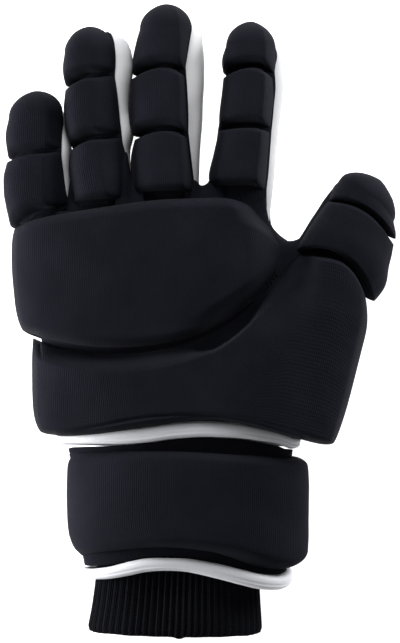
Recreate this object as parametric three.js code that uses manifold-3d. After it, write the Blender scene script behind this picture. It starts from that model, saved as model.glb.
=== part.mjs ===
// Left-hand field hockey glove lying on its palm: fingers towards +Y, thumb towards +X, back of the hand up.
// Millimetres. The origin is on the surface that it lies on, under the middle of its bounding box.
import * as THREE from 'three';
import Module from 'manifold-3d';

const wasm = await Module();
wasm.setup();

// Driving dimensions
const clothWall = 1.6;
const knitWall = 2.4;
const gap = 0.35;
const seamHeight = 11;
const waveStart = 4;
const waveFull = 24;
const footFlat = 1.2;
const rootOverlap = 3;
const padSkirt = 4.5;
const padTuck = 0.86;
const padShoulder = 0.93;
const padLeftPower = 2.7;
const padRightPower = 2.3;
const palmPower = 2.8;
const cuffPower = 2.6;
const cuffPadPower = 2.5;
const knitPower = 2.4;
const hollowReach = 5;
const padRim = 1.6;
const padRimHeight = 0.42;
const padRimInset = 0.3;
const broadEdgePower = 9;
const broadArchRim = 0.4;
const broadCushionRim = 0.3;
const thumbAngle = THREE.MathUtils.degToRad(33);
const thumbRoot = new THREE.Vector3(38.5, 4, 0);
const palmFingerEdge = 50;
const palmWristEdge = -51.3;
const stallRoot = palmFingerEdge + 0.4;
const cuffFloor = 2.6;
const bindingHeight = 6.2;
const bindingThickness = 3.4;
const cuffEdgeUpper = -59.1;
const cuffEdgeLower = -112;
const bindingUpperY = -55.2;
const bindingLowerY = -115.6;
const knitTopEdge = -104;
const knitBottomEdge = -145.4;
const knitRibCount = 66;
const knitRibDepth = 0.9;
const stallSides = 14;
const padSteps = 8;
const palmSides = 24;
const cuffSides = 26;
const halfBox = { across: 300, high: 60 };

const looks = {
  whiteCloth: { color: 0xe4e4ea, roughness: 0.75, metalness: 0 },
  blackCloth: { color: 0x17181c, roughness: 0.85, metalness: 0 },
  padCover: { color: 0x1b1c21, roughness: 0.8, metalness: 0 },
  whiteBinding: { color: 0xf0f0f4, roughness: 0.65, metalness: 0 },
  blackKnit: { color: 0x121317, roughness: 0.9, metalness: 0 },
};

// Finger stalls. Rows run from the root to the tip: y, left, right, top. The last row starts the round tip.
const stallRows = {
  little: { tip: 101.5, rows: [
    [stallRoot, -81.0, -60.6, 20.0],
    [66.0, -82.4, -61.0, 19.5],
    [80.0, -82.4, -61.3, 18.5],
    [91.0, -81.5, -62.4, 17.5],
  ] },
  ring: { tip: 133.0, rows: [
    [stallRoot, -60.0, -32.8, 22.0],
    [70.0, -55.5, -32.2, 21.5],
    [100.0, -55.0, -32.6, 20.5],
    [120.0, -54.0, -31.2, 19.0],
  ] },
  middle: { tip: 142.5, rows: [
    [stallRoot, -32.2, 0.6, 22.5],
    [65.0, -25.5, 0.0, 22.0],
    [95.0, -23.0, 1.4, 21.0],
    [118.0, -22.5, 2.5, 20.0],
    [131.0, -20.5, 1.6, 18.5],
  ] },
  index: { tip: 131.0, rows: [
    [stallRoot, 1.2, 32.5, 22.0],
    [66.0, 8.5, 34.5, 21.5],
    [90.0, 12.5, 36.6, 20.5],
    [108.0, 15.0, 38.4, 19.5],
    [119.0, 17.0, 37.6, 18.5],
  ] },
  thumb: { tip: 70.0, rows: [
    [8.0, -14.0, 17.0, 23.0],
    [30.0, -14.0, 16.0, 23.0],
    [46.0, -12.8, 14.0, 22.0],
    [58.0, -13.5, 12.5, 20.0],
  ] },
};

// Finger pads. Rows run from the base edge to the tip edge: y, left, ridge, right, top, and how far the
// edge trails at its left and right ends. A pad with a tip closes in a round end there.
const padRows = {
  little_base_pad: { stall: 'little', rows: [
    [51.0, -85.0, -71.0, -59.8, 27.0, 5.5, -2.5],
    [60.0, -89.5, -72.0, -62.0, 28.0, 4.5, -1.5],
    [70.0, -90.2, -72.0, -63.3, 27.5, 4.0, -1.0],
    [76.4, -88.5, -72.0, -64.0, 27.0, 3.0, -1.0],
  ] },
  little_tip_pad: { stall: 'little', tip: 105.5, rows: [
    [77.4, -87.6, -71.5, -64.0, 26.5, 3.5, -1.0],
    [86.0, -89.0, -71.0, -63.8, 26.4, 2.0, 0.0],
    [95.5, -87.4, -71.2, -62.9, 25.8, 3.6, -0.6],
  ] },
  ring_base_pad: { stall: 'ring', rows: [
    [54.0, -57.0, -39.0, -32.9, 30.5, 1.5, -0.5],
    [64.0, -59.0, -39.5, -33.0, 31.0, 2.0, -0.5],
    [74.0, -60.2, -40.5, -34.0, 30.5, 3.5, -0.5],
    [82.9, -58.6, -42.5, -36.2, 30.0, 4.4, -0.8],
  ] },
  ring_middle_pad: { stall: 'ring', rows: [
    [84.0, -59.0, -42.5, -36.2, 29.5, 4.6, -0.8],
    [93.0, -61.6, -44.0, -37.2, 30.0, 4.2, -0.8],
    [103.0, -62.4, -45.3, -38.2, 29.5, 4.2, -1.0],
    [111.2, -60.8, -46.0, -39.4, 29.0, 4.6, -1.0],
  ] },
  ring_tip_pad: { stall: 'ring', tip: 135.0, rows: [
    [112.3, -60.8, -46.0, -39.6, 28.5, 4.8, -1.0],
    [118.0, -62.6, -46.5, -39.2, 28.4, 3.0, -0.5],
    [124.5, -61.6, -46.5, -39.2, 27.8, 1.0, 0.0],
  ] },
  middle_base_pad: { stall: 'middle', rows: [
    [57.8, -29.6, -7.5, -2.2, 32.0, 1.2, -0.4],
    [66.0, -31.2, -7.5, -3.4, 32.0, 1.6, 0.4],
    [78.0, -31.6, -8.0, -4.8, 31.5, 2.4, 1.6],
    [86.8, -29.8, -8.5, -5.8, 31.0, 3.2, 3.0],
  ] },
  middle_middle_pad: { stall: 'middle', rows: [
    [87.9, -29.9, -8.5, -5.8, 30.5, 3.2, 3.2],
    [96.0, -32.2, -9.0, -5.8, 31.0, 3.4, 3.2],
    [106.0, -31.8, -9.0, -6.3, 30.5, 3.8, 3.4],
    [115.8, -30.2, -9.5, -7.0, 30.0, 4.2, 3.6],
  ] },
  middle_tip_pad: { stall: 'middle', tip: 145.4, rows: [
    [116.9, -30.0, -9.5, -7.0, 29.5, 4.2, 3.6],
    [123.0, -30.2, -9.0, -6.0, 29.5, 2.6, 2.0],
    [130.0, -28.2, -9.0, -4.9, 28.8, 1.2, 0.8],
    [135.0, -26.8, -9.5, -4.6, 28.0, 0.8, 0.8],
  ] },
  index_base_pad: { stall: 'index', rows: [
    [60.6, 5.8, 25.5, 29.8, 31.5, -0.2, 0.6],
    [67.0, 4.6, 26.0, 30.6, 32.0, 0.0, 0.8],
    [77.0, 6.8, 27.0, 31.4, 31.5, 0.6, 1.4],
    [88.2, 9.4, 28.0, 32.2, 31.0, 1.0, 2.0],
  ] },
  index_middle_pad: { stall: 'index', rows: [
    [89.3, 9.5, 28.0, 32.4, 30.5, 1.0, 2.0],
    [98.0, 9.8, 28.6, 33.2, 31.0, 2.0, 3.0],
    [107.0, 10.8, 29.4, 34.0, 30.5, 3.0, 4.0],
    [115.8, 11.6, 29.6, 33.6, 30.0, 3.7, 4.8],
  ] },
  index_tip_pad: { stall: 'index', tip: 137.1, rows: [
    [116.9, 11.6, 29.6, 33.8, 29.5, 3.7, 4.8],
    [122.0, 10.9, 30.0, 34.9, 29.0, 2.0, 4.4],
    [127.5, 12.6, 29.5, 34.6, 28.2, 0.6, 4.8],
  ] },
  thumb_middle_pad: { stall: 'thumb', rows: [
    [37.0, -11.0, -5.0, 30.0, 33.0, 6.0, 10.6],
    [44.0, -11.2, -5.0, 30.6, 33.0, 6.0, 8.2],
    [52.0, -11.2, -5.0, 26.6, 31.5, 5.6, 6.2],
    [58.9, -10.6, -5.0, 23.4, 30.0, 5.4, 5.4],
  ] },
  thumb_tip_pad: { stall: 'thumb', tip: 74.6, rows: [
    [60.1, -10.6, -5.0, 23.4, 29.5, 5.4, 5.4],
    [63.5, -11.6, -4.8, 22.2, 29.2, 3.6, 4.0],
    [66.5, -11.2, -4.4, 20.0, 28.8, 1.6, 2.2],
  ] },
};

// Palm shell. Rows run from the finger edge to the wrist: y, left, right, top.
const palmRows = [
  [palmFingerEdge, -81.0, 32.6, 23.5],
  [43.5, -80.2, 33.6, 25.0],
  [37.8, -79.8, 39.4, 26.4],
  [33.0, -79.3, 48.5, 27.4],
  [24.0, -78.4, 56.8, 28.6],
  [10.0, -76.5, 64.0, 29.5],
  [-8.0, -73.0, 64.5, 30.0],
  [-26.0, -69.5, 59.5, 30.0],
  [-40.0, -67.0, 52.5, 29.5],
  [palmWristEdge, -65.0, 46.0, 29.0],
];

// The two pads on the back of the hand, each by its four edges (x, y), left to right and base to tip. The
// arch is the oval that a pad lies over, and the feet are the heights of its underside from right to left.
const knucklePad = {
  base: [
    [-82.2, -3.6], [-77.0, -6.2], [-66.0, -9.8], [-50.0, -12.5], [-36.0, -13.1], [-23.0, -12.2],
    [-11.0, -10.2], [0.0, -6.9], [10.0, -1.4], [18.5, 4.6], [27.0, 11.4], [35.0, 20.2],
  ],
  tip: [
    [-85.2, 43.4], [-68.0, 48.6], [-50.5, 51.6], [-23.0, 55.6], [-2.0, 56.6], [14.0, 56.2], [26.0, 51.0],
    [33.5, 42.5],
  ],
  left: [[-82.2, -3.6], [-84.2, 4.0], [-85.4, 14.0], [-86.2, 24.0], [-86.2, 36.0], [-85.2, 43.4]],
  right: [[35.0, 20.2], [38.2, 27.0], [38.6, 34.0], [33.5, 42.5]],
  arch: { left: -88, right: 60, top: 27.5 },
  thickness: 11,
  feet: [20, 18, 9],
  steps: 11,
};
const handPad = {
  base: [
    [-72.5, -50.6], [-46.0, -51.0], [-18.0, -47.6], [4.0, -45.8], [24.0, -47.8], [42.0, -52.4], [60.6, -55.8],
  ],
  tip: [
    [-73.8, -9.4], [-62.0, -12.6], [-46.0, -14.6], [-34.0, -14.7], [-20.0, -13.4], [-4.0, -9.6], [12.0, -1.8],
    [24.0, 8.2], [34.7, 19.3], [43.9, 29.2], [48.5, 32.6], [55.4, 30.9], [61.6, 29.8], [66.0, 27.0],
    [70.0, 22.0], [73.0, 16.0], [75.2, 9.0],
  ],
  left: [[-72.5, -50.6], [-75.6, -42.0], [-76.2, -28.0], [-75.6, -16.0], [-73.8, -9.4]],
  right: [[60.6, -55.8], [67.8, -38.0], [73.6, -15.0], [76.0, -2.0], [75.2, 9.0]],
  arch: { left: -82, right: 84, top: 30 },
  thickness: 10,
  feet: [6, 20, 6],
  steps: 14,
};

// How full a broad pad is along its length, rounded off at both ends.
const roundedEnds = [
  [0, 0.25], [0.03, 0.7], [0.12, 0.95], [0.35, 1], [0.65, 1], [0.88, 0.95], [0.97, 0.7], [1, 0.25],
];

// Rounds the ends of a tip: how far along the tip each ring lies, and how much of its size is left. A stall
// keeps more of its size below the seam.
const tipFullness = 0.8;
const tipUnderside = 0.4;
const tipRings = [32, 58, 78].map((angle) => {
  const turn = THREE.MathUtils.degToRad(angle);
  return { along: Math.sin(turn), size: Math.pow(Math.cos(turn), tipFullness) };
});

// A binding's rounded section: shares of its height along the glove and of its thickness outwards.
const bindingSection = [[-0.5, -0.5], [-0.5, 0.3], [-0.2, 0.5], [0.2, 0.5], [0.5, 0.3], [0.5, -0.5]];

function smooth(from, to, value) {
  return THREE.MathUtils.smoothstep(value, from, to);
}

function hump(x, centre, reach) {
  const distance = Math.min(Math.abs(x - centre) / reach, 1);
  return 0.5 + 0.5 * Math.cos(Math.PI * distance);
}

// How far the wrist edge and the cuff's lower edge rise and fall across the back of the hand.
function wristWave(x) {
  return 5 * hump(x, 4, 56) - 3.2 * smooth(28, 46, x);
}

function cuffWave(x) {
  return 3.6 * hump(x, -14, 32) - 6.4 * smooth(-4, 40, x);
}

function cuffPadUpperWave(x) {
  return 2.9 * hump(x, -20, 75) - 0.5 * smooth(30, 48, x);
}

function cuffPadLowerWave(x) {
  return 5.2 * hump(x, -14, 60) - 3.4 * smooth(10, 46, x);
}

// Padded cuff. Rows run from its upper edge to its lower edge: y, left, right, top, inset all round, wave.
const cuffPadRows = [
  [-62.2, -60.0, 48.6, 36.0, 1.8, cuffPadUpperWave],
  [-64.0, -61.0, 49.8, 37.0, 0.5, cuffPadUpperWave],
  [-68.5, -61.4, 50.2, 37.5, 0.0, cuffPadUpperWave],
  [-84.0, -61.6, 50.2, 37.5, 0.0, null],
  [-101.0, -59.6, 50.2, 37.5, 0.0, cuffPadLowerWave],
  [-106.6, -57.4, 50.0, 37.0, 0.5, cuffPadLowerWave],
  [-108.6, -55.6, 49.0, 36.0, 1.8, cuffPadLowerWave],
];

// Knit cuff, from its hidden upper edge to its open end.
const knitRows = [
  { y: knitTopEdge, left: -47.0, right: 27.4, top: 24.0, floor: 5.0, power: knitPower },
  { y: -120.0, left: -48.4, right: 28.0, top: 24.0, floor: 4.6, power: knitPower },
  { y: knitBottomEdge, left: -51.4, right: 29.0, top: 24.0, floor: 0.0, power: knitPower },
];

function outward(geometry) {
  const position = geometry.getAttribute('position');
  const index = geometry.getIndex().array;
  const corner = [0, 1, 2].map(() => new THREE.Vector3());
  let volume = 0;
  for (let i = 0; i < index.length; i += 3) {
    corner.forEach((point, k) => point.fromBufferAttribute(position, index[i + k]));
    volume += corner[0].dot(corner[1].cross(corner[2]));
  }
  if (volume < 0) {
    index.reverse();
  }
  return geometry;
}

// Skins rings of equally many points into one closed solid. Each ring runs along its top and back along its
// underside. Open ends are capped from top to underside, and a closed row meets itself.
function skin(rings, closed = false) {
  const count = rings[0].length;
  const points = rings.flat();
  const index = [];
  const bands = closed ? rings.length : rings.length - 1;
  for (let band = 0; band < bands; band++) {
    const near = band * count;
    const far = ((band + 1) % rings.length) * count;
    for (let i = 0; i < count; i++) {
      const next = (i + 1) % count;
      index.push(near + i, near + next, far + next, near + i, far + next, far + i);
    }
  }
  if (!closed) {
    [0, (rings.length - 1) * count].forEach((start) => {
      for (let i = 0; i < count / 2 - 1; i++) {
        const [a, b, c, d] = [i, i + 1, count - 2 - i, count - 1 - i].map((k) => start + k);
        index.push(...(start ? [a, b, c, a, c, d] : [a, c, b, a, d, c]));
      }
    });
  }
  const geometry = new THREE.BufferGeometry().setFromPoints(points);
  geometry.setIndex(new THREE.BufferAttribute(new Uint32Array(index), 1));
  return outward(geometry);
}

function solid(geometry) {
  const vertProperties = new Float32Array(geometry.getAttribute('position').array);
  const triVerts = new Uint32Array(geometry.getIndex().array);
  return new wasm.Manifold(new wasm.Mesh({ numProp: 3, vertProperties, triVerts }));
}

function shape(body) {
  const { numProp, vertProperties, triVerts } = body.getMesh();
  const geometry = new THREE.BufferGeometry();
  const points = new THREE.InterleavedBuffer(new Float32Array(vertProperties), numProp);
  geometry.setAttribute('position', new THREE.InterleavedBufferAttribute(points, 3, 0));
  geometry.setIndex(new THREE.BufferAttribute(new Uint32Array(triVerts), 1));
  return geometry;
}

function cut(geometry, ...tools) {
  return shape(tools.reduce((body, tool) => body.subtract(solid(tool)), solid(geometry)));
}

function moved(ring, along) {
  return ring.map((point) => point.clone().setY(point.y + along));
}

// A flat oval across X and Z, squared off by its power and flattened where it lies on the surface.
function oval({ y, left, right, top, floor = 0, power = cuffPower, wave = null }, sides, grow = 0) {
  const middle = (left + right) / 2;
  const half = (right - left) / 2 + grow;
  const seam = Math.min(seamHeight, (top + floor) / 2);
  const ring = [];
  for (let i = 0; i < sides; i++) {
    const turn = (2 * Math.PI * (i + 0.5)) / sides;
    const across = Math.sign(Math.cos(turn)) * Math.pow(Math.abs(Math.cos(turn)), 2 / power);
    const rise = Math.pow(Math.abs(Math.sin(turn)), 2 / power);
    const upper = seam + (top + grow - seam) * rise;
    const lower = Math.max(seam - (seam - floor + footFlat + grow) * rise, floor - grow);
    const x = middle + half * across;
    const z = turn < Math.PI ? upper : lower;
    ring.push(new THREE.Vector3(x, wave ? y + wave(x) * smooth(waveStart, waveFull, z) : y, z));
  }
  return ring;
}

// The rings of one stall, from its root to its tip, grown or shrunk all round.
function stallRings({ rows, tip }, grow) {
  const rings = rows.map(([y, left, right, top]) => oval({ y, left, right, top }, stallSides, grow));
  const [y, left, right, top] = rows[rows.length - 1];
  const middle = (left + right) / 2;
  const reach = tip + grow - y;
  tipRings.forEach(({ along, size }) => {
    const ring = oval({ y: y + reach * along, left, right, top }, stallSides, grow);
    ring.forEach((point) => {
      const height = point.z > seamHeight ? size : THREE.MathUtils.lerp(tipUnderside, 1, size);
      point.x = middle + (point.x - middle) * size;
      point.z = seamHeight + (point.z - seamHeight) * height;
    });
    rings.push(ring);
  });
  return rings;
}

function stall(spec) {
  const inside = stallRings(spec, -clothWall).reverse();
  return skin([...inside, ...stallRings(spec, 0)]);
}

// A stall as a block, begun a little inside the palm.
function stallBlock(spec, grow) {
  const rings = stallRings(spec, grow);
  return skin([moved(rings[0], -rootOverlap), ...rings]);
}

// A ring of one pad: up its left side, over the ridge and down its right side, with a flat foot.
function padRing([y, left, ridge, right, top, trailLeft, trailRight], fullness, inset) {
  const middle = (left + right) / 2;
  const half = (right - left) / 2;
  const height = seamHeight + (top - seamHeight) * fullness;
  const upper = [];
  for (let i = 0; i <= padSteps; i++) {
    const turn = Math.PI * (1 - i / padSteps);
    const leftSide = turn > Math.PI / 2;
    const reach = leftSide ? ridge - left - inset : right - ridge - inset;
    const power = leftSide ? padLeftPower : padRightPower;
    const across = Math.sign(Math.cos(turn)) * Math.pow(Math.abs(Math.cos(turn)), 2 / power);
    const rise = Math.pow(Math.abs(Math.sin(turn)), 2 / power);
    const x = ridge + reach * across;
    const off = (x - middle) / half;
    const trail = (off < 0 ? trailLeft : trailRight) * off * off;
    upper.push(new THREE.Vector3(x, y - trail, seamHeight + (height - seamHeight) * rise));
  }
  const lower = upper.map((point) =>
    new THREE.Vector3(middle + (point.x - middle) * padTuck, point.y, padSkirt)).reverse();
  return [...upper, ...lower];
}

// A whole finger pad as a block that still runs through its stall.
function padBlock({ rows, tip }) {
  const first = rows[0];
  const last = rows[rows.length - 1];
  const shifted = (row, along) => [row[0] + along, ...row.slice(1)];
  const edge = (row) => padRing(row, 1 - padRimHeight, padRim);
  const shoulder = (row) => padRing(row, padShoulder, padRim * padRimInset);
  const rings = [edge(first), shoulder(shifted(first, padRim))];
  rows.slice(1, -1).forEach((row) => rings.push(padRing(row, 1, 0)));
  if (tip === undefined) {
    rings.push(shoulder(shifted(last, -padRim)), edge(last));
    return skin(rings);
  }
  rings.push(padRing(last, 1, 0));
  const middle = (last[1] + last[3]) / 2;
  tipRings.forEach(({ along, size }) => {
    const ring = padRing(shifted(last, (tip - last[0]) * along), 1, 0);
    ring.forEach((point) => {
      point.x = middle + (point.x - middle) * size;
      point.z = seamHeight + (point.z - seamHeight) * size;
    });
    rings.push(ring);
  });
  return skin(rings);
}

// A point between a broad pad's four edges, by its shares of the way across and along.
function edgePatch({ base, tip, left, right }, across, along) {
  const point = base(across).multiplyScalar(1 - along).addScaledVector(tip(across), along);
  point.addScaledVector(left(along), 1 - across).addScaledVector(right(along), across);
  point.addScaledVector(base(0), -(1 - across) * (1 - along)).addScaledVector(base(1), -across * (1 - along));
  return point.addScaledVector(tip(0), -(1 - across) * along).addScaledVector(tip(1), -across * along);
}

// A broad pad arched over the hand, rounded off all round, as a block that still runs through the hand.
function broadPadBlock(pad) {
  const { arch, thickness, feet, steps } = pad;
  const edges = Object.fromEntries(['base', 'tip', 'left', 'right'].map((name) => {
    const curve = new THREE.SplineCurve(pad[name].map(([x, y]) => new THREE.Vector2(x, y)));
    return [name, (along) => curve.getPointAt(along)];
  }));
  const middle = (arch.left + arch.right) / 2;
  const half = (arch.right - arch.left) / 2;
  const [rightFoot, midFoot, leftFoot] = feet;
  const rings = roundedEnds.map(([along, fullness]) => {
    const upper = [];
    for (let i = 0; i <= steps; i++) {
      const across = 0.5 - 0.5 * Math.cos((Math.PI * i) / steps);
      const { x, y } = edgePatch(edges, across, along);
      const off = Math.min(Math.abs((x - middle) / half), 1);
      const curve = Math.pow(1 - Math.pow(off, palmPower), 1 / palmPower);
      const edge = Math.cbrt(1 - Math.pow(Math.abs(2 * across - 1), broadEdgePower));
      const rise = (arch.top - seamHeight) * curve * (broadArchRim + (1 - broadArchRim) * edge);
      const cushion = thickness * fullness * (broadCushionRim + (1 - broadCushionRim) * edge);
      upper.push(new THREE.Vector3(x, y, seamHeight + rise + cushion));
    }
    const lower = upper.map(({ x, y }) => {
      const off = (x - middle) / half;
      const foot = THREE.MathUtils.lerp(midFoot, off < 0 ? leftFoot : rightFoot, Math.abs(off));
      return new THREE.Vector3(x, y, foot);
    });
    return [...upper, ...lower.reverse()];
  });
  return skin(rings);
}

// A tube of cloth open at both ends, from rings of its outside.
function sleeve(rows, sides, wall) {
  const outer = rows.map((row) => oval(row, sides, 0));
  const inner = rows.map((row) => oval(row, sides, -wall)).reverse();
  return skin([...outer, ...inner], true);
}

// A rounded binding that follows an oval edge, as wide as it is high along the glove.
function binding({ y, left, right, top, wave }) {
  const path = oval({ y, left, right, top, floor: bindingThickness / 2, wave }, cuffSides);
  const middle = new THREE.Vector3((left + right) / 2, y, top / 2);
  const rings = path.map((point, i) => {
    const before = path[(i + cuffSides - 1) % cuffSides];
    const after = path[(i + 1) % cuffSides];
    const along = after.clone().sub(before).setY(0).normalize();
    const out = new THREE.Vector3(along.z, 0, -along.x);
    if (out.dot(point.clone().sub(middle)) < 0) {
      out.negate();
    }
    return bindingSection.map(([across, deep]) => point.clone().addScaledVector(out, deep * bindingThickness)
      .add(new THREE.Vector3(0, across * bindingHeight, 0)));
  });
  return skin(rings, true);
}

// Spreads an oval's points evenly round it, so that the ribs are all as wide.
function evenly(ring, count) {
  const lowest = Math.min(...ring.map((point) => point.z));
  const points = new THREE.CatmullRomCurve3(ring, true, 'chordal').getSpacedPoints(count).slice(0, count);
  points.forEach((point) => { point.z = Math.max(point.z, lowest); });
  return points;
}

// The knit cuff starts inside the base cuff and comes down to the surface below it.
function knitCuff() {
  const ribbed = (row, grow, depth) => {
    const middle = new THREE.Vector3((row.left + row.right) / 2, row.y, (row.top + row.floor) / 2);
    return evenly(oval(row, cuffSides * 2, grow), knitRibCount * 2).map((point, i) =>
      (i % 2 ? point : point.addScaledVector(point.clone().sub(middle).normalize(), -depth)));
  };
  const outer = knitRows.map((row) => ribbed(row, 0, knitRibDepth));
  const inner = [knitRows[2], knitRows[0]].map((row) => ribbed(row, -knitWall, 0));
  return skin([...outer, ...inner], true);
}

// The padded cuff as a block round the wrist, its edges rounded off.
function cuffPadBlock() {
  const rings = cuffPadRows.map(([y, left, right, top, inset, wave]) =>
    oval({ y, left, right, top, power: cuffPadPower, wave }, cuffSides, -inset));
  return skin(rings);
}

const palmSections = palmRows.map(([y, left, right, top], i) =>
  ({ y, left, right, top, power: palmPower, wave: i === palmRows.length - 1 ? wristWave : null }));

function palmBlock(grow, longer = grow) {
  const rings = palmSections.map((row) => oval(row, palmSides, grow));
  if (longer > 0) {
    rings.unshift(moved(rings[0], longer));
    rings.push(moved(rings[rings.length - 1], -longer));
  }
  return skin(rings);
}

// The palm shell is sewn from a back and a palm cloth that meet along the sides at the seam height.
function palmHalf(upper, thumbHollow) {
  const half = new THREE.BoxGeometry(halfBox.across, halfBox.across, halfBox.high);
  const lift = (halfBox.high + gap) / 2;
  half.translate(0, 0, upper ? seamHeight + lift : seamHeight - lift);
  ['normal', 'uv'].forEach((name) => half.deleteAttribute(name));
  const shell = solid(palmBlock(0)).subtract(solid(palmBlock(-clothWall, hollowReach)));
  return shape(shell.subtract(solid(thumbHollow)).intersect(solid(boxBody(half))));
}

// A box whose eight corners are shared.
const sameCorner = 1e-6;

function boxBody(box) {
  const position = box.getAttribute('position');
  const corners = [];
  const index = Array.from(box.getIndex().array, (vertex) => {
    const point = new THREE.Vector3().fromBufferAttribute(position, vertex);
    const found = corners.findIndex((corner) => corner.distanceTo(point) < sameCorner);
    return found < 0 ? corners.push(point) - 1 : found;
  });
  const geometry = new THREE.BufferGeometry().setFromPoints(corners);
  geometry.setIndex(new THREE.BufferAttribute(new Uint32Array(index), 1));
  return outward(geometry);
}

function onThumb(geometry) {
  return geometry.rotateZ(-thumbAngle).translate(thumbRoot.x, thumbRoot.y, thumbRoot.z);
}

const glove = new THREE.Group();

function addPiece(name, geometry, look) {
  const mesh = new THREE.Mesh(geometry, new THREE.MeshStandardMaterial(looks[look]));
  mesh.name = name;
  glove.add(mesh);
}

const fingers = ['little', 'ring', 'middle', 'index'];
const thumbCore = onThumb(stallBlock(stallRows.thumb, gap));
const thumbHollow = onThumb(stallBlock(stallRows.thumb, -clothWall));

addPiece('palm_cloth', palmHalf(false, thumbHollow), 'whiteCloth');
addPiece('back_cloth', palmHalf(true, thumbHollow), 'blackCloth');
fingers.forEach((finger) => addPiece(`${finger}_stall`, stall(stallRows[finger]), 'whiteCloth'));
addPiece('thumb_stall', cut(onThumb(stall(stallRows.thumb)), palmBlock(gap)), 'whiteCloth');

Object.entries(padRows).forEach(([name, spec]) => {
  if (spec.stall === 'thumb') {
    addPiece(name, cut(onThumb(padBlock(spec)), thumbCore, palmBlock(gap)), 'padCover');
  } else {
    addPiece(name, cut(padBlock(spec), stallBlock(stallRows[spec.stall], gap)), 'padCover');
  }
});

const fingerCores = fingers.map((finger) => stallBlock(stallRows[finger], gap));
addPiece('knuckle_pad', cut(broadPadBlock(knucklePad), palmBlock(gap), ...fingerCores), 'padCover');
addPiece('hand_pad', cut(broadPadBlock(handPad), palmBlock(gap), thumbCore), 'padCover');

const upperBinding = { y: bindingUpperY, left: -64.0, right: 44.0, top: 29.5, wave: wristWave };
addPiece('upper_binding', binding(upperBinding), 'whiteBinding');

const cuffRows = [
  { y: cuffEdgeUpper, left: -60.5, right: 43.0, top: 28.0, wave: wristWave },
  { y: -72.0, left: -57.0, right: 41.5, top: 28.0 },
  { y: -96.0, left: -56.0, right: 41.5, top: 28.0 },
  { y: cuffEdgeLower, left: -53.0, right: 40.3, top: 27.5, wave: cuffWave },
].map((row) => ({ ...row, floor: cuffFloor }));
const cuffCore = skin(cuffRows.map((row) => oval(row, cuffSides, gap)));
addPiece('base_cuff', sleeve(cuffRows, cuffSides, clothWall), 'blackCloth');
addPiece('cuff_pad', cut(cuffPadBlock(), cuffCore), 'padCover');

const lowerBinding = { y: bindingLowerY, left: -52.5, right: 40.5, top: 27.0, wave: cuffWave };
addPiece('lower_binding', binding(lowerBinding), 'whiteBinding');
addPiece('knit_cuff', knitCuff(), 'blackKnit');

export default glove;
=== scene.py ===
"""A left-hand field hockey glove in padded black cloth over white stalls, lying palm down on a pale floor."""

import math
from bisect import bisect_right

import bmesh
import bpy
from bpy.props import FloatProperty, FloatVectorProperty, IntProperty, PointerProperty
from mathutils import Matrix, Vector, noise
from mathutils.bvhtree import BVHTree
from mathutils.kdtree import KDTree


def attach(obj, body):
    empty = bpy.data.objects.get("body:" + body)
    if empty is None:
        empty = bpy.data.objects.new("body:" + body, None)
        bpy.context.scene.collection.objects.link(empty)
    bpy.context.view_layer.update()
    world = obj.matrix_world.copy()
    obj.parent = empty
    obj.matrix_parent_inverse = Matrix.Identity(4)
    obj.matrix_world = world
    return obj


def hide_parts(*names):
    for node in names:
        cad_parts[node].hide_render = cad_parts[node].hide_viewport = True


bl_info = {
    "name": "Padded hockey glove",
    "version": (1, 0, 0),
    "blender": (4, 5, 0),
    "location": "View3D > Sidebar > Glove",
    "description": "Builds a padded left-hand field hockey glove piece by piece",
    "category": "Add Mesh",
}

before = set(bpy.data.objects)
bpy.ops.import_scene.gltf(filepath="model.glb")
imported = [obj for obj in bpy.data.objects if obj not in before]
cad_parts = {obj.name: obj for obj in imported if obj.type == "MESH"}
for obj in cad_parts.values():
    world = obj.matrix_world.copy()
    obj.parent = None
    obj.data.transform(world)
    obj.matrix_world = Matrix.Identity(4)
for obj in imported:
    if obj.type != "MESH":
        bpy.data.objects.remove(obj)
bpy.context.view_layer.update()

MM = 0.001
QUARTER = math.pi / 2
SMALL = 1e-6
TINY = 1e-9
WHITE = (1.0, 1.0, 1.0, 1.0)

# How finely curves are sampled, and the faces across and along each kind of piece.
RING_SAMPLES = 720
EDGE_STEPS = 24
STALL_GRID = (84, 76)
COVER_GRID = (60, 76)
PAD_GRID = (64, 60)
WEB_GRID = (48, 20)
PALM_GRID = (96, 84)
BASE_CUFF_GRID = (180, 60)
CUFF_PAD_GRID = (280, 56)
BINDING_GRID = (320, 40)
KNIT_FACES_PER_RIB = 8
KNIT_FACES_ALONG = 64

# Points closer than these are one, in metres: at the seams of a piece and of a stitch, and along a sliver.
WELD = 2e-6
STITCH_WELD = 1e-7
SLIVER = 1e-8

# The cloth map, and the millimetres in one unit of it.
CLOTH_MAP = "weave"
MAP_UNIT = 100.0

# Heights, walls, edges and overlaps shared by the pieces, in millimetres, and where the thumb is set on.
SEAM_HEIGHT = 11.0
CLOTH_WALL = 1.6
COVER_WALL = 0.5
FOOT_FLAT = 1.2
WRIST_EDGE = -51.3
STALL_OVERLAP = 6.0
THUMB_ANGLE = math.radians(33)
THUMB_ROOT = (38.5, 4.0, 0.0)
CUFF_FLOOR = 2.6
LINING_CLEAR = 0.5

# The waves of the cuffs and bindings start and are full at these heights.
WAVE_START = 4.0
WAVE_FULL = 24.0

# How squared off the sections are: 2 is round, more is squarer and less is more pointed.
STALL_POWER = 2.6
PALM_POWER = 2.8
CUFF_PAD_POWER = 2.15
PAD_LEFT_POWER = 3.8
PAD_RIGHT_POWER = 1.35
KNIT_POWER = 2.4
EDGE_POWER = 2.2

# The turn on a section is taken no further out than this share of its width.
WIDEST_SHARE = 0.985

# Round tips: the length of their cloth as a share of how far they stand out, how blunt they are, and the
# share of its depth that a stall's underside keeps at the tip.
DOME_LENGTH = 1.3
DOME_POWER = 0.4
PAD_DOME_POWER = 1.1
UNDERSIDE_KEPT = 0.4

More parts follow.
